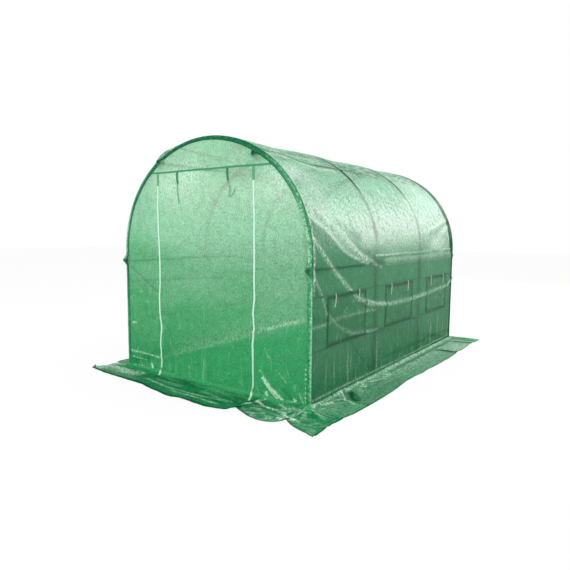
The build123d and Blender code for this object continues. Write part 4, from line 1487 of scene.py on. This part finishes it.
@dataclass
class Windows:
    """Roll-up windows of one side: nets, closed flaps, long seams and ties."""

    cover: Cover
    side: Side
    pitch: float = 0.014

    def strip(self, name: str, y_marks: list[float], z_marks: list[float], stand: float, thickness: float,
              pitch: float, hem: float = 0.0, ripple: float = 0.0) -> Piece:
        """Flat piece that follows the side film.

        Args:
            name: Name of the piece.
            y_marks: Its ends along the tunnel.
            z_marks: Its foot and top.
            stand: How far its middle stands off the side film's middle.
            thickness: Its thickness.
            pitch: Distance between its rows.
            hem: Width of the darker hem round it.
            ripple: Height of its own waves.

        Returns:
            The piece.
        """
        outline = self.cover.sizes.outline
        low_y, high_y = min(y_marks), max(y_marks)

        def lay(y: Array, z: Array) -> Laid:
            """Place the piece."""
            relief = self.cover.relief(self.side, y, z)
            edge = np.minimum(np.minimum(y - low_y, high_y - y), np.minimum(z - z_marks[0], z_marks[-1] - z))
            own = ripple * waves(y / 0.09, z / 0.06, 29.0)
            relief.lift = relief.lift + np.abs(own)
            if hem:
                relief.darker(0.42 * (edge < hem))
                relief.frost_and_highlight = relief.frost_and_highlight * (edge >= hem)
            x = self.side.value * (outline.half_width + relief.lift + stand)
            return Laid.at((x, y, z), (y, z), relief)

        across = steps(y_marks, pitch)[::self.side.value]
        return new_sheet(name, across, steps(z_marks, pitch), lay, thickness)

    def build(self, looks: Looks) -> None:
        """Make and dress the windows of the side."""
        name = self.side.name.lower()
        hoops = self.cover.sizes.hoops
        bay = float(hoops[1] - hoops[0])
        centres = [float(h) + bay / 2 for h in hoops[:-1]]
        film = self.cover.sizes.film
        low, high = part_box(f"{name}_window_flaps")
        half = (high.y - low.y - 2 * bay) / 2
        hem = 0.011
        flaps = [self.strip(f"{name}_flap_{k}", [y - half, y - half + hem, y + half - hem, y + half],
                            [low.z, low.z + hem, high.z - hem, high.z], film + 0.0008, 0.0012, self.pitch,
                            hem + 0.0002, 0.002) for k, y in enumerate(centres)]
        net_low, net_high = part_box(f"{name}_window_meshes")
        net_half = (net_high.y - net_low.y - 2 * bay) / 2
        nets = [self.strip(f"{name}_net_{k}", [y - net_half, y + net_half], [net_low.z, net_high.z],
                           -film - 0.0003, 0.0008, 0.03) for k, y in enumerate(centres)]
        piece = join_pieces(f"{name}_window_flap_film", flaps)
        finish_piece(piece, looks["flap_film"], "flap_film", f"{name}_window_flaps")
        piece = join_pieces(f"{name}_window_nets", nets)
        finish_piece(piece, looks["window_net"], "net", f"{name}_window_meshes")
        seam_low, seam_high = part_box(f"{name}_window_seams")
        seams = [self.strip(f"{name}_seam_{end}", [seam_low.y, seam_high.y], heights, film + stand, 0.0012, 0.012)
                 for end, heights,
                 stand in (("top", [high.z, seam_high.z], 0.0022), ("foot", [seam_low.z, low.z], 0.001))]
        piece = join_pieces(f"{name}_window_webbing", seams)
        finish_piece(piece, looks["window_webbing"], "seam_webbing", f"{name}_window_seams")
        finish_piece(self.ties(name, seam_high.z, centres), looks["tie_tape"], "tie_tape", f"{name}_window_ties")

    def ties(self, name: str, top: float, centres: list[float]) -> Piece:
        """Tapes that hang from the upper seam."""
        low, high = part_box(f"{name}_window_ties")
        bay = centres[1] - centres[0]
        spacing = high.y - low.y - 2 * bay
        drop = high.z - low.z
        outline = self.cover.sizes.outline
        made = []
        for number, y in enumerate([c + s * spacing / 2 for c in centres for s in (-1, 1)]):
            swing = 0.028 * float(noise.noise(Vector((number * 3.7, 2.0, 5.0))))

            def lay(share: Array, down: Array, y: float = y, swing: float = swing) -> Laid:
                """Place one tape."""
                z = top - down * drop
                along = y + (share - 0.5) * 0.009 + swing * down * 1.6 + 0.004 * np.sin(down * 5.0)
                lift = self.cover.relief(self.side, along, z).lift
                x = outline.half_width + lift + 0.0052 + 0.002 * np.sin(down * 7.0) ** 2
                return Laid.at((self.side.value * x, along, z), ((share - 0.5) * 0.009, down * drop))

            made.append(new_sheet(f"{name}_tie_{number}", np.linspace(0.0, 1.0, 3)[::-self.side.value],
                                  np.linspace(0.0, 1.0, 14), lay, 0.0012))
        return join_pieces(f"{name}_tie_tapes", made)


@dataclass
class Skirts:
    """Film laid on the ground round the foot of the cover."""

    sizes: TunnelSizes
    pitch: float = 0.0095
    root: float = 0.028
    front_edge: Line = (
        (-1.29, -1.535), (-1.22, -1.62), (-1.18, -1.668), (-0.96, -1.697), (-0.74, -1.71), (-0.585, -1.722),
        (-0.42, -1.733), (-0.25, -1.772), (-0.054, -1.806), (0.097, -1.802), (0.211, -1.80), (0.349, -1.815),
        (0.475, -1.802), (0.535, -1.772), (0.577, -1.722), (0.627, -1.738), (0.724, -1.777), (0.817, -1.795),
        (0.887, -1.788), (0.95, -1.772), (0.978, -1.745), (1.003, -1.712), (1.057, -1.74), (1.139, -1.775),
        (1.221, -1.803), (1.297, -1.85))
    right_edge: Line = (
        (-1.8, 1.262), (-1.41, 1.28), (-1.336, 1.292), (-1.1, 1.30), (-0.85, 1.302), (-0.6, 1.297),
        (-0.34, 1.277), (-0.15, 1.277), (0.0, 1.292), (0.2, 1.295), (0.4, 1.305), (0.58, 1.312), (0.88, 1.302),
        (1.16, 1.298), (1.45, 1.287), (1.625, 1.303), (1.8, 1.32))
    left_edge: Line = ((-1.41, 1.163), (-1.35, 1.187), (-1.0, 1.20), (0.5, 1.25), (1.6, 1.28))
    left_corner: Line = ((0.0, -1.26), (0.1, -1.22), (0.37, -1.181), (0.48, -1.155), (1.0, -1.16))

    def rise(self, gap: Array) -> Array:
        """Height of the film where it curves up on to the wall, by its distance from it."""
        return self.root * np.clip(1.0 - gap / 0.045, 0.0, 1.0) ** 2

    def lifted(self, gap: Array, relief: Relief) -> Array:
        """Height of the film's middle over the ground."""
        return self.sizes.film / 2 + 0.0003 + self.rise(gap) + np.maximum(relief.lift, 0.0)

    def rim(self, along: Array, gap: Array, relief: Relief, width: float | Array) -> None:
        """Darken the film's rim over a width and let it curl up, by the distance from the rim."""
        relief.darker(np.clip(1.6 * (1.0 - gap / width), 0.0, 1.0))
        curl = 0.003 + 0.012 * np.maximum(waves(along / 0.22, gap * 0.0, 87.0), 0.0)
        relief.lift = relief.lift + curl * (1.0 - ease(gap / 0.05))

    def front_relief(self, x: Array, y: Array) -> Relief:
        """Folds of the front skirts."""
        relief = Relief.flat(x)
        gap = self.sizes.front - y
        swells = waves(x / 0.34, (y + 0.1 * x) / 0.10, 51.0)
        relief.lift = 0.008 * np.abs(swells) + 0.0025 * np.abs(waves(x / 0.12, y / 0.05, 53.0))
        # Ridges with painted highlights on them and painted shade between them.
        ridges = waves(x / 0.42, (y + 0.16 * x) / 0.05, 57.0)
        relief.frost_and_highlight = 0.22 * ramp(ridges, 0.3, 0.15)
        relief.shade = 0.45 * ramp(-ridges, 0.2, 0.2)
        relief.lift += 0.009 * np.maximum(ridges, 0.0)
        # The film rolls on to the ground along the wall, with a painted highlight on the roll, and beyond it
        # painted shade in a groove on the left and a paler ridge on the right.
        roll = gap + 0.02 * waves(x / 0.2, x * 0.0, 55.0)
        relief.frost_and_highlight = np.maximum(relief.frost_and_highlight * ease(gap / 0.05), 0.12 * bell(roll, 0.012, 0.02))
        relief.shade = relief.shade * ease(gap / 0.05)
        relief.darker(0.4 * ramp(-0.5, x, 0.1) * bell(roll, 0.03, 0.010))
        relief.paler(0.3 * ramp(x, -0.5, 0.2) * bell(roll, 0.075, 0.010))
        # Painted sheen: pale ripples on the right corner, and a paler left end.
        ripples = ramp(waves((x + 0.4 * y) / 0.07, (y - 0.3 * x) / 0.028, 91.0), -0.1, 0.3)
        scallop = ramp(x, 0.58, 0.06) * ramp(gap, 0.13, 0.05)
        scallop *= 1.0 - 0.5 * ramp(x, 0.97, 0.1)
        relief.paler(scallop * (0.06 + 0.5 * ripples))
        relief.shade *= 1.0 - 0.35 * scallop
        pale = ramp(-0.6, x, 0.1) * ramp(gap, 0.06, 0.03) * fall(gap, 0.17, 0.05)
        relief.paler(0.75 * np.maximum(pale, ramp(-1.05, x, 0.08)))
        relief.shade *= 1.0 - 0.7 * ramp(-1.0, x, 0.1)
        relief.crease(x, y, folds(
            (0.008, 0.014, 2.2, 0.0, 0.9, -1.6, 0.96, -1.655, 1.04, -1.67),
            (0.006, 0.012, 1.8, 0.0, 0.93, -1.7, 1.0, -1.71, 1.06, -1.66),
            (0.006, 0.008, 1.6, 0.0, 0.6, -1.5, 0.7, -1.56, 0.84, -1.58),
            (0.006, 0.008, 1.8, 0.0, 0.78, -1.47, 0.88, -1.53),
            (0.01, 0.01, 1.2, 0.0, 0.56, -1.62, 0.6, -1.53, 0.62, -1.44),
            (-0.004, 0.012, 0.0, 0.7, 0.52, -1.63, 0.55, -1.54, 0.56, -1.44),
            (-0.004, 0.012, 0.0, 0.6, 0.95, -1.62, 0.93, -1.5, 0.95, -1.44),
            (0.004, 0.014, 1.2, 0.0, -1.27, -1.56, -1.1, -1.55, -0.95, -1.5),
            (0.004, 0.012, 1.0, 0.0, -1.24, -1.48, -1.1, -1.45, -1.02, -1.43),
            (0.006, 0.008, 0.9, 0.0, -0.1, -1.7, 0.15, -1.71, 0.4, -1.72),
            (0.006, 0.01, 0.7, 0.0, -0.5, -1.6, -0.2, -1.66, 0.2, -1.66, 0.45, -1.62),
        ))
        # Rays of crumple round the right leg's foot, with painted highlights on them and painted shade between.
        corner = np.hypot(x - 1.0, y + 1.45)
        star = np.arctan2(y + 1.41, x - 0.985)
        rays = waves(star / 0.16, corner / 0.3, 59.0)
        close = fall(corner, 0.05, 0.2)
        relief.lift += 0.02 * np.abs(rays) * close
        relief.paler(1.0 * close * ramp(rays, 0.05, 0.3))
        relief.darker(0.6 * close * ramp(-rays, 0.15, 0.25))
        # Raised notches in the edge, with painted shadow on them.
        for notch_x, notch_y in ((0.575, -1.70), (0.998, -1.70)):
            off = np.hypot((x - notch_x) / 0.05, (y - notch_y) / 0.05)
            relief.lift += 0.008 * np.exp(-off ** 2)
            relief.darker(np.exp(-(off / 0.55) ** 4))
        relief.lift *= ramp(gap, -0.02, 0.05) * 0.85 + 0.15
        return relief

    def side_relief(self, side: Side, x: Array, y: Array) -> Relief:
        """Folds of the side skirts."""
        relief = Relief.flat(x)
        seed = 61.0 if side is Side.RIGHT else 67.0
        relief.lift = 0.005 * np.abs(waves(x / 0.09, y / 0.3, seed))
        # Fine rucks beside the wall, with painted highlights on them and painted shade between, under a broad
        # painted sheen, with a painted highlight along the wall's foot.
        ruck = waves((x - 0.5 * y) / 0.026, (y + 0.4 * x) / 0.11, seed + 1.0)
        close = fall(x, 1.05, 0.14)
        relief.lift += 0.008 * np.maximum(ruck, 0.0) * (0.2 + 0.8 * close)
        sheen = 0.7 * ramp(y, -1.3, 1.6) * (1.0 - 0.35 * ramp(x, 1.13, 0.05))
        relief.frost_and_highlight = np.maximum(np.maximum(sheen, 0.28), 1.3 * close * ramp(ruck, 0.05, 0.3))
        relief.paler(0.9 * bell(x, 1.012, 0.008))
        relief.shade = 0.4 * ramp(-ruck, 0.15, 0.3) * (0.4 + 0.6 * close)
        # A darker outer strip, and painted shade on the root beside the wall.
        outer = ramp(x, 1.14, 0.03) * fall(y, -0.7, 0.7)
        relief.darker(0.12 * outer)
        root = ramp(x, 1.018, 0.01) * fall(x, 1.05, 0.025) * ramp(y, -0.3, 0.4)
        relief.frost_and_highlight *= 1.0 - 0.6 * root
        relief.darker(0.3 * root)
        if side is Side.RIGHT:
            relief.paler(0.8 * ramp(y, 0.9, 0.2) * ramp(-y, -1.5, 0.05) * ramp(x, 1.05, 0.06))
            # Overlapped pleats with painted shade in them, and creases with painted highlights.
            relief.crease(x, y, folds(
                (0.008, 0.008, 0.0, 0.8, 1.004, -0.937, 1.131, -1.093, 1.207, -1.103, 1.29, -1.085),
                (0.008, 0.01, 0.0, 0.8, 1.035, -0.876, 1.12, -0.95, 1.19, -1.014, 1.2, -1.09),
                (0.004, 0.034, 0.0, 1.0, 1.06, -0.92, 1.12, -1.02, 1.18, -1.06),
                (0.01, 0.012, 1.2, 0.0, 1.02, -0.99, 1.1, -1.1, 1.2, -1.13),
                (0.008, 0.036, 0.0, 1.0, 1.11, 0.947, 1.2, 0.95, 1.3, 0.953),
                (0.008, 0.034, 0.0, 1.0, 1.1, 1.468, 1.2, 1.5, 1.29, 1.53),
                (0.006, 0.012, 0.45, 0.0, 1.0, -1.4, 1.12, -0.9, 1.16, -0.3, 1.17, 0.5),
            ))
        return relief

    def zip_foot(self, name: str, line: Line, width: float) -> Piece:
        """Lower end of a zip, laid on the front skirt along a line of places."""
        route = Route(np.array(line))

        def lay(share: Array, length: Array) -> Laid:
            """Place the tape."""
            off = (share - 0.5) * width
            x, y = route.beside(length, off)
            gap = np.maximum(self.sizes.front - self.sizes.film - y, 0.0)
            z = self.lifted(gap, self.front_relief(x, y)) + 0.0022 + zip_teeth(share, length)
            return Laid.at((x, y, z), (off, length))

        return new_sheet(name, np.linspace(0.0, 1.0, 9), steps([0.0, float(route.run[-1])], 0.004), lay, 0.0012)

    def zip_feet(self, tape: Material) -> None:
        """Make the zips' ends that run on over the skirt."""
        low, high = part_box("left_zip")
        width = high.x - low.x + 0.002
        feet = [self.zip_foot("left_zip_foot", ((-0.553, -1.4095), (-0.535, -1.436), (-0.51, -1.466)), width),
                self.zip_foot("right_zip_foot", ((0.468, -1.4095), (0.497, -1.458), (0.536, -1.526)), width)]
        finish_piece(join_pieces("zip_feet_tape", feet), tape, "zip_tape")

    def front_shape(self, low: float, high: float) -> Shape:
        """Shape of a front skirt between two places across the tunnel."""
        face = self.sizes.front - self.sizes.film

        def lay(share: Array, depth: Array) -> Laid:
            """Place the film."""
            x = low + (high - low) * share
            if high > 1.1:
                corner = np.interp(1.0 - depth, [0.0, 0.5, 1.0], [1.28, 1.27, 1.297])
                x = low + (corner - low) * share
            if low < -1.1:
                corner = follow(self.left_corner, depth)
                x = high - (high - corner) * (1.0 - share)
            rim = follow(self.front_edge, x)
            y = rim + (face - rim) * depth
            gap = np.hypot(face - y, np.maximum(np.abs(x) - 1.0, 0.0))
            relief = self.front_relief(x, y)
            relief.drop = -0.05 * fall(gap, 0.03, 0.05)
            self.rim(x, y - rim, relief, 0.04 - 0.024 * ramp(x, 0.58, 0.06))
            if high > 1.1:
                self.rim(y, corner - x, relief, 0.018)
            return Laid.at((x, y, self.lifted(gap, relief)), (x, y), relief)

        return lay

    def side_shape(self, side: Side) -> Shape:
        """Shape of a side skirt."""
        edge = self.right_edge if side is Side.RIGHT else self.left_edge
        wall = self.sizes.outline.half_width + self.sizes.film

        def lay(y: Array, depth: Array) -> Laid:
            """Place the film."""
            rim = follow(edge, y)
            x = wall + (rim - wall) * depth
            relief = self.side_relief(side, x, y)
            self.rim(y, rim - x, relief, 0.018 - 0.006 * ramp(y, -1.0, 0.3))
            return Laid.at((side.value * x, y, self.lifted(x - wall, relief)), (y, x), relief)

        return lay

    def rear_shape(self) -> Shape:
        """Shape of the rear skirt."""
        face = self.sizes.rear + self.sizes.film

        def lay(x: Array, depth: Array) -> Laid:
            """Place the film."""
            rim = 1.785 + 0.012 * waves(x / 0.4, x * 0.0, 4.4)
            y = face + (rim - face) * depth
            gap = np.hypot(y - face, np.maximum(np.abs(x) - 1.0, 0.0))
            relief = Relief.flat(x)
            relief.lift = 0.005 * np.abs(waves(x / 0.25, y / 0.06, 81.0))
            relief.frost_and_highlight = 0.3 * ramp(waves(x / 0.2, y / 0.03, 83.0), 0.2, 0.3)
            return Laid.at((x, y, self.lifted(gap, relief)), (x, y), relief)

        return lay

    def build(self, film: Material, tape: Material) -> None:
        """Make and dress the six skirts, with the zips' ends on them."""
        self.zip_feet(tape)
        depths = np.linspace(0.0, 1.0, 42)
        for node, low, high in (("front_left_skirt", -1.285, LEFT_ZIP_X), ("door_skirt", LEFT_ZIP_X, RIGHT_ZIP_X),
                                ("front_right_skirt", RIGHT_ZIP_X, 1.255)):
            shares = steps([0.0, 1.0], self.pitch / (high - low))
            lay = self.front_shape(low, high)
            piece = finish_piece(new_sheet(f"{node}_film", shares, depths, lay), film, "skirt_film", node)
            grid_area(shares, depths, lay)
        ends = [self.sizes.front, self.sizes.rear]
        reach = np.linspace(0.0, 1.0, 28)
        for side in Side:
            across = steps(ends, self.pitch)[::-side.value]
            lay = self.side_shape(side)
            name = side.name.lower()
            piece = new_sheet(f"{name}_skirt_film", across, reach, lay)
            finish_piece(piece, film, "skirt_film", f"{name}_skirt")
            grid_area(across, reach, lay)
        across = steps([-1.285, 1.3], 0.018)[::-1]
        reach = np.linspace(0.0, 1.0, 14)
        lay = self.rear_shape()
        piece = finish_piece(new_sheet("rear_skirt_film", across, reach, lay), film, "skirt_film", "rear_skirt")
        grid_area(across, reach, lay)


@dataclass
class HoopFrame:
    """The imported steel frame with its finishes, and the bolts of its braces."""

    tube_nodes: tuple[str, ...] = (
        "front_arch", "second_arch", "third_arch", "rear_arch", "left_legs", "right_legs", "left_side_rails",
        "right_side_rails", "left_roof_rail", "right_roof_rail", "left_brace", "right_brace")
    joint_nodes: tuple[str, ...] = ("left_cross_joints", "right_cross_joints", "left_roof_clips", "right_roof_clips")

    def dress(self, nodes: tuple[str, ...], material: Material) -> None:
        """Give CAD nodes a finish."""
        for name in nodes:
            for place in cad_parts[name].material_slots:
                place.material = material

    def bolt(self, side: Side, y: float, z: float) -> Piece:
        """Hexagon bolt through a brace's flat end, with its washer."""
        low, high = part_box(f"{side.name.lower()}_brace")
        way = -side.value
        x = (low.x if side is Side.RIGHT else high.x) - way * 0.0045
        made = []
        for corners, radius, depth, stand in ((24, 0.0075, 0.0016, 0.0028), (6, 0.0058, 0.004, 0.0056)):
            deselect()
            bpy.ops.mesh.primitive_cylinder_add(vertices=corners, radius=radius, depth=depth,
                                                location=(x + way * stand, y, z), rotation=(0.0, pi / 2, 0.0))
            made.append(newest())
        piece = join_pieces("bolt", made)
        apply_modifier(piece, "BEVEL", width=0.0005, segments=2, limit_method="ANGLE")
        return piece

    def build(self, looks: Looks) -> None:
        """Dress the frame and add the bolts."""
        self.dress(self.tube_nodes, looks["galvanised_steel"])
        self.dress(self.joint_nodes, looks["joint_coating"])
        self.dress(("rail_end_caps",), looks["cap_plastic"])
        first_hoop, bay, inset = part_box("right_side_panel")[0].y, 1.0, 0.011
        for side in Side:
            low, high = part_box(f"{side.name.lower()}_brace")
            made = [self.bolt(side, first_hoop, high.z - inset), self.bolt(side, first_hoop + bay, low.z + inset)]
            piece = join_pieces(f"{side.name.lower()}_brace_bolts", made)
            smooth(piece)
            finish_piece(piece, looks["bolt_zinc"], "joint_steel")


@dataclass
class Studio:
    """Camera, floor and soft light."""

    eye: tuple[float, float, float] = (2.8949, -4.3974, 1.2509)
    turn: tuple[float, float, float] = (84.0239, -0.4388, 35.4318)
    lens: float = 32.711
    floor_size: float = 60.0
    sky: float = 1.0

    def camera(self) -> None:
        """Set the camera."""
        deselect()
        bpy.ops.object.camera_add(location=self.eye, rotation=[radians(angle) for angle in self.turn])
        camera = bpy.context.object
        camera.name = "studio_camera"
        camera.data.lens = self.lens
        camera.data.sensor_width = 36.0
        camera.data.clip_end = 200.0
        bpy.context.scene.camera = camera
        bpy.context.scene.view_settings.view_transform = "Standard"

    @staticmethod
    def background_rays(graph: Graph) -> Socket:
        """One for rays that should meet the plain backdrop: seen straight, mirrored or through glass."""
        path = graph.add("LightPath")
        clear = graph.maths("MULTIPLY", path.outputs["Is Transmission Ray"],
                            graph.maths("SUBTRACT", 1.0, path.outputs["Is Diffuse Ray"]))
        straight = graph.maths("MAXIMUM", path.outputs["Is Camera Ray"], path.outputs["Is Glossy Ray"])
        return graph.maths("MAXIMUM", straight, clear)

    def floor(self) -> None:
        """Pale floor that keeps the shadow."""
        deselect()
        bpy.ops.mesh.primitive_plane_add(size=self.floor_size, location=(0.0, 0.0, 0.0))
        floor = bpy.context.object
        floor.name = "studio_floor"
        material, graph = blank_material("studio_floor")
        place = graph.add("SeparateXYZ", {0: graph.add("TexCoord").outputs["Object"]})
        inside = graph.maths("MULTIPLY",
                             graph.maths("LESS_THAN", graph.maths("ABSOLUTE", place), 1.0),
                             graph.maths("LESS_THAN", graph.maths(
                                 "ABSOLUTE", graph.maths("SUBTRACT", place.outputs[1], 0.1)), 1.53))
        share = graph.maths("MULTIPLY", self.background_rays(graph), graph.maths("MULTIPLY_ADD", inside, -0.9, 0.9))
        matt = graph.add("BsdfDiffuse", {0: rgb(0.78, 0.78, 0.78)})
        white = graph.add("Emission", {0: rgb(1.0, 1.0, 1.0), 1: 1.0})
        whole = graph.add("MixShader", {0: share, 1: matt, 2: white})
        graph.add("OutputMaterial", {0: whole})
        floor.data.materials.append(material)

    def world(self) -> None:
        """Plain white surroundings, brighter overhead for the light that they give."""
        world = bpy.data.worlds.new("studio")
        bpy.context.scene.world = world
        world.use_nodes = True
        world.node_tree.nodes.clear()
        graph = Graph(world.node_tree)
        up = graph.add("SeparateXYZ", {0: graph.add("TexCoord").outputs["Generated"]})
        light = graph.spread(up.outputs[2], -0.1, 0.8, 0.42, 1.1)
        soft = graph.add("Background", {0: rgb(1.0, 1.0, 1.0), 1: graph.maths("MULTIPLY", light, self.sky)})
        white = graph.add("Background", {0: rgb(1.0, 1.0, 1.0), 1: 1.0})
        whole = graph.add("MixShader", {0: self.background_rays(graph), 1: soft, 2: white})
        graph.add("OutputWorld", {0: whole})

    def lamp(self, name: str, place: tuple[float, float, float], aim: tuple[float, float, float],
             size: tuple[float, float], power: float) -> None:
        """Rectangular soft lamp aimed at a point."""
        deselect()
        away = Vector(aim) - Vector(place)
        bpy.ops.object.light_add(type="AREA", location=place, rotation=away.to_track_quat("-Z", "Y").to_euler())
        lamp = bpy.context.object
        lamp.name = name
        lamp.data.shape = "RECTANGLE"
        lamp.data.size, lamp.data.size_y = size
        lamp.data.energy = power

    def lights(self) -> None:
        """Key from above, a low back light along the shoulder of the roof, and one over that shoulder."""
        self.lamp("key_lamp", (-2.5, -8.0, 4.5), (0.0, 0.0, 0.9), (5.0, 4.0), 330.0)
        self.lamp("back_lamp", (2.2, 8.6, 4.0), (0.9, 0.5, 1.4), (5.0, 2.6), 300.0)
        self.lamp("top_lamp", (3.2, 1.2, 5.2), (0.9, 0.2, 1.5), (3.0, 3.0), 100.0)


# Finishes

FINISHES = (
    FilmFinish(
        "roof_film",
        facing=(rgb(0.010, 0.117, 0.049), rgb(0.046, 0.158, 0.088), rgb(0.68, 0.90, 0.75), rgb(0.36, 0.66, 0.48)),
        through=(rgb(0.02, 0.28, 0.12), rgb(0.07, 0.34, 0.17), rgb(0.84, 0.98, 0.88), rgb(0.62, 0.88, 0.72)),
        heights=(0.1, 0.96, 1.30, 1.54), clear=(0.14, 0.3), gloss=(0.15, 0.35), roughness=0.24, grain=(0.3, 1.3),
        strokes=(0.12, 0.7), creases=0.12, relief=(0.15, 0.7), pale=rgb(0.93, 1.0, 0.95)),
    FilmFinish(
        "end_film",
        facing=(rgb(0.003, 0.315, 0.092), rgb(0.092, 0.42, 0.178), rgb(0.34, 0.60, 0.42), rgb(0.56, 0.72, 0.57)),
        through=(rgb(0.02, 0.50, 0.18), rgb(0.17, 0.64, 0.33), rgb(0.64, 0.86, 0.69), rgb(0.82, 0.92, 0.80)),
        heights=(0.12, 0.65, 1.2, 1.65), clear=(0.28, 0.55), clear_tint=rgb(0.40, 0.85, 0.58), gloss=(0.12, 0.12),
        strokes=(0.16, 0.34), grain=(0.6, 0.6), creases=0.36, relief=(0.15, 0.18)),
    FilmFinish(
        "hem_film",
        facing=(rgb(0.006, 0.30, 0.09), rgb(0.022, 0.27, 0.098), rgb(0.030, 0.27, 0.105), rgb(0.024, 0.25, 0.095)),
        through=(rgb(0.02, 0.42, 0.15), rgb(0.02, 0.38, 0.13), rgb(0.02, 0.34, 0.12), rgb(0.02, 0.30, 0.10)),
        behind=0.1, clear=(0.0, 0.0), gloss=(0.0, 0.0), roughness=0.6, strokes=(0.2, 0.2),
        creases=0.0, grain=(0.9, 0.9), pale=rgb(0.35, 0.68, 0.45)),
    FilmFinish(
        "flap_film",
        facing=(rgb(0.012, 0.125, 0.052), rgb(0.045, 0.165, 0.085), rgb(0.2, 0.4, 0.28), rgb(0.2, 0.4, 0.28)),
        through=(rgb(0.04, 0.36, 0.16), rgb(0.11, 0.44, 0.24), rgb(0.4, 0.7, 0.5), rgb(0.4, 0.7, 0.5)),
        heights=(0.1, 0.96, 1.3, 1.9), clear=(0.12, 0.12), behind=0.45, gloss=(0.15, 0.15), roughness=0.24,
        grain=(0.3, 0.3), strokes=(0.12, 0.12), relief=(0.15, 0.15)),
    FilmFinish(
        "skirt_film",
        facing=(rgb(0.001, 0.215, 0.068), rgb(0.001, 0.215, 0.068), rgb(0.003, 0.30, 0.09), rgb(0.003, 0.315, 0.092)),
        through=(rgb(0.012, 0.34, 0.12), rgb(0.012, 0.34, 0.12), rgb(0.02, 0.50, 0.18), rgb(0.02, 0.50, 0.18)),
        heights=(0.0, 0.012, 0.028, 0.05), behind=0.2, clear=(0.0, 0.0), strokes=(0.15, 0.15), creases=0.15,
        grain=(0.6, 0.6), relief=(0.35, 0.35), gloss=(0.03, 0.03), roughness=0.26, pale=rgb(0.60, 0.84, 0.68)),
    TapeFinish("garage_film", rgb(0.03, 0.24, 0.1), rgb(0.08, 0.4, 0.2)),
    TapeFinish("zip_tape", rgb(0.62, 0.86, 0.70), rgb(0.36, 0.66, 0.46), rib=0.004),
    TapeFinish("seam_webbing", rgb(0.012, 0.17, 0.07), rgb(0.03, 0.27, 0.12)),
    TapeFinish("window_webbing", rgb(0.006, 0.085, 0.035), rgb(0.02, 0.15, 0.07)),
    TapeFinish("toggle_webbing", rgb(0.008, 0.12, 0.045), rgb(0.02, 0.2, 0.08)),
    TapeFinish("strap_webbing", rgb(0.06, 0.30, 0.15), rgb(0.14, 0.46, 0.28)),
    TapeFinish("tie_tape", rgb(0.80, 0.66, 0.62), rgb(0.62, 0.48, 0.46), rib=0.002),
    NetFinish("window_net", rgb(0.34, 0.62, 0.42)),
    HardFinish("galvanised_steel", rgb(0.42, 0.46, 0.44), rgb(0.28, 0.32, 0.30), 0.8, 0.38),
    HardFinish("joint_coating", rgb(0.02, 0.035, 0.027), rgb(0.06, 0.08, 0.065), 0.0, 0.45),
    HardFinish("cap_plastic", rgb(0.012, 0.018, 0.014), rgb(0.04, 0.05, 0.045), 0.0, 0.5),
    HardFinish("bolt_zinc", rgb(0.55, 0.56, 0.55), rgb(0.35, 0.36, 0.35), 0.95, 0.3),
)


def main() -> None:
    """Build everything in order."""
    logging.basicConfig(level=logging.INFO, format="%(message)s")
    studio = Studio()
    studio.camera()
    groups = SharedGroups()
    looks = {finish.name: finish.material(groups) for finish in FINISHES}
    sizes = TunnelSizes()
    cover = Cover(sizes)
    HoopFrame().build(looks)
    cover.build(looks["roof_film"])
    EndSleeve(sizes).build(looks["hem_film"])
    DoorEnd(sizes).build(looks)
    PlainEnd(sizes).build(looks["end_film"])
    for side in Side:
        Windows(cover, side).build(looks)
    Skirts(sizes).build(looks["skirt_film"], looks["zip_tape"])
    studio.floor()
    studio.world()
    studio.lights()


if __name__ == "__main__":
    main()
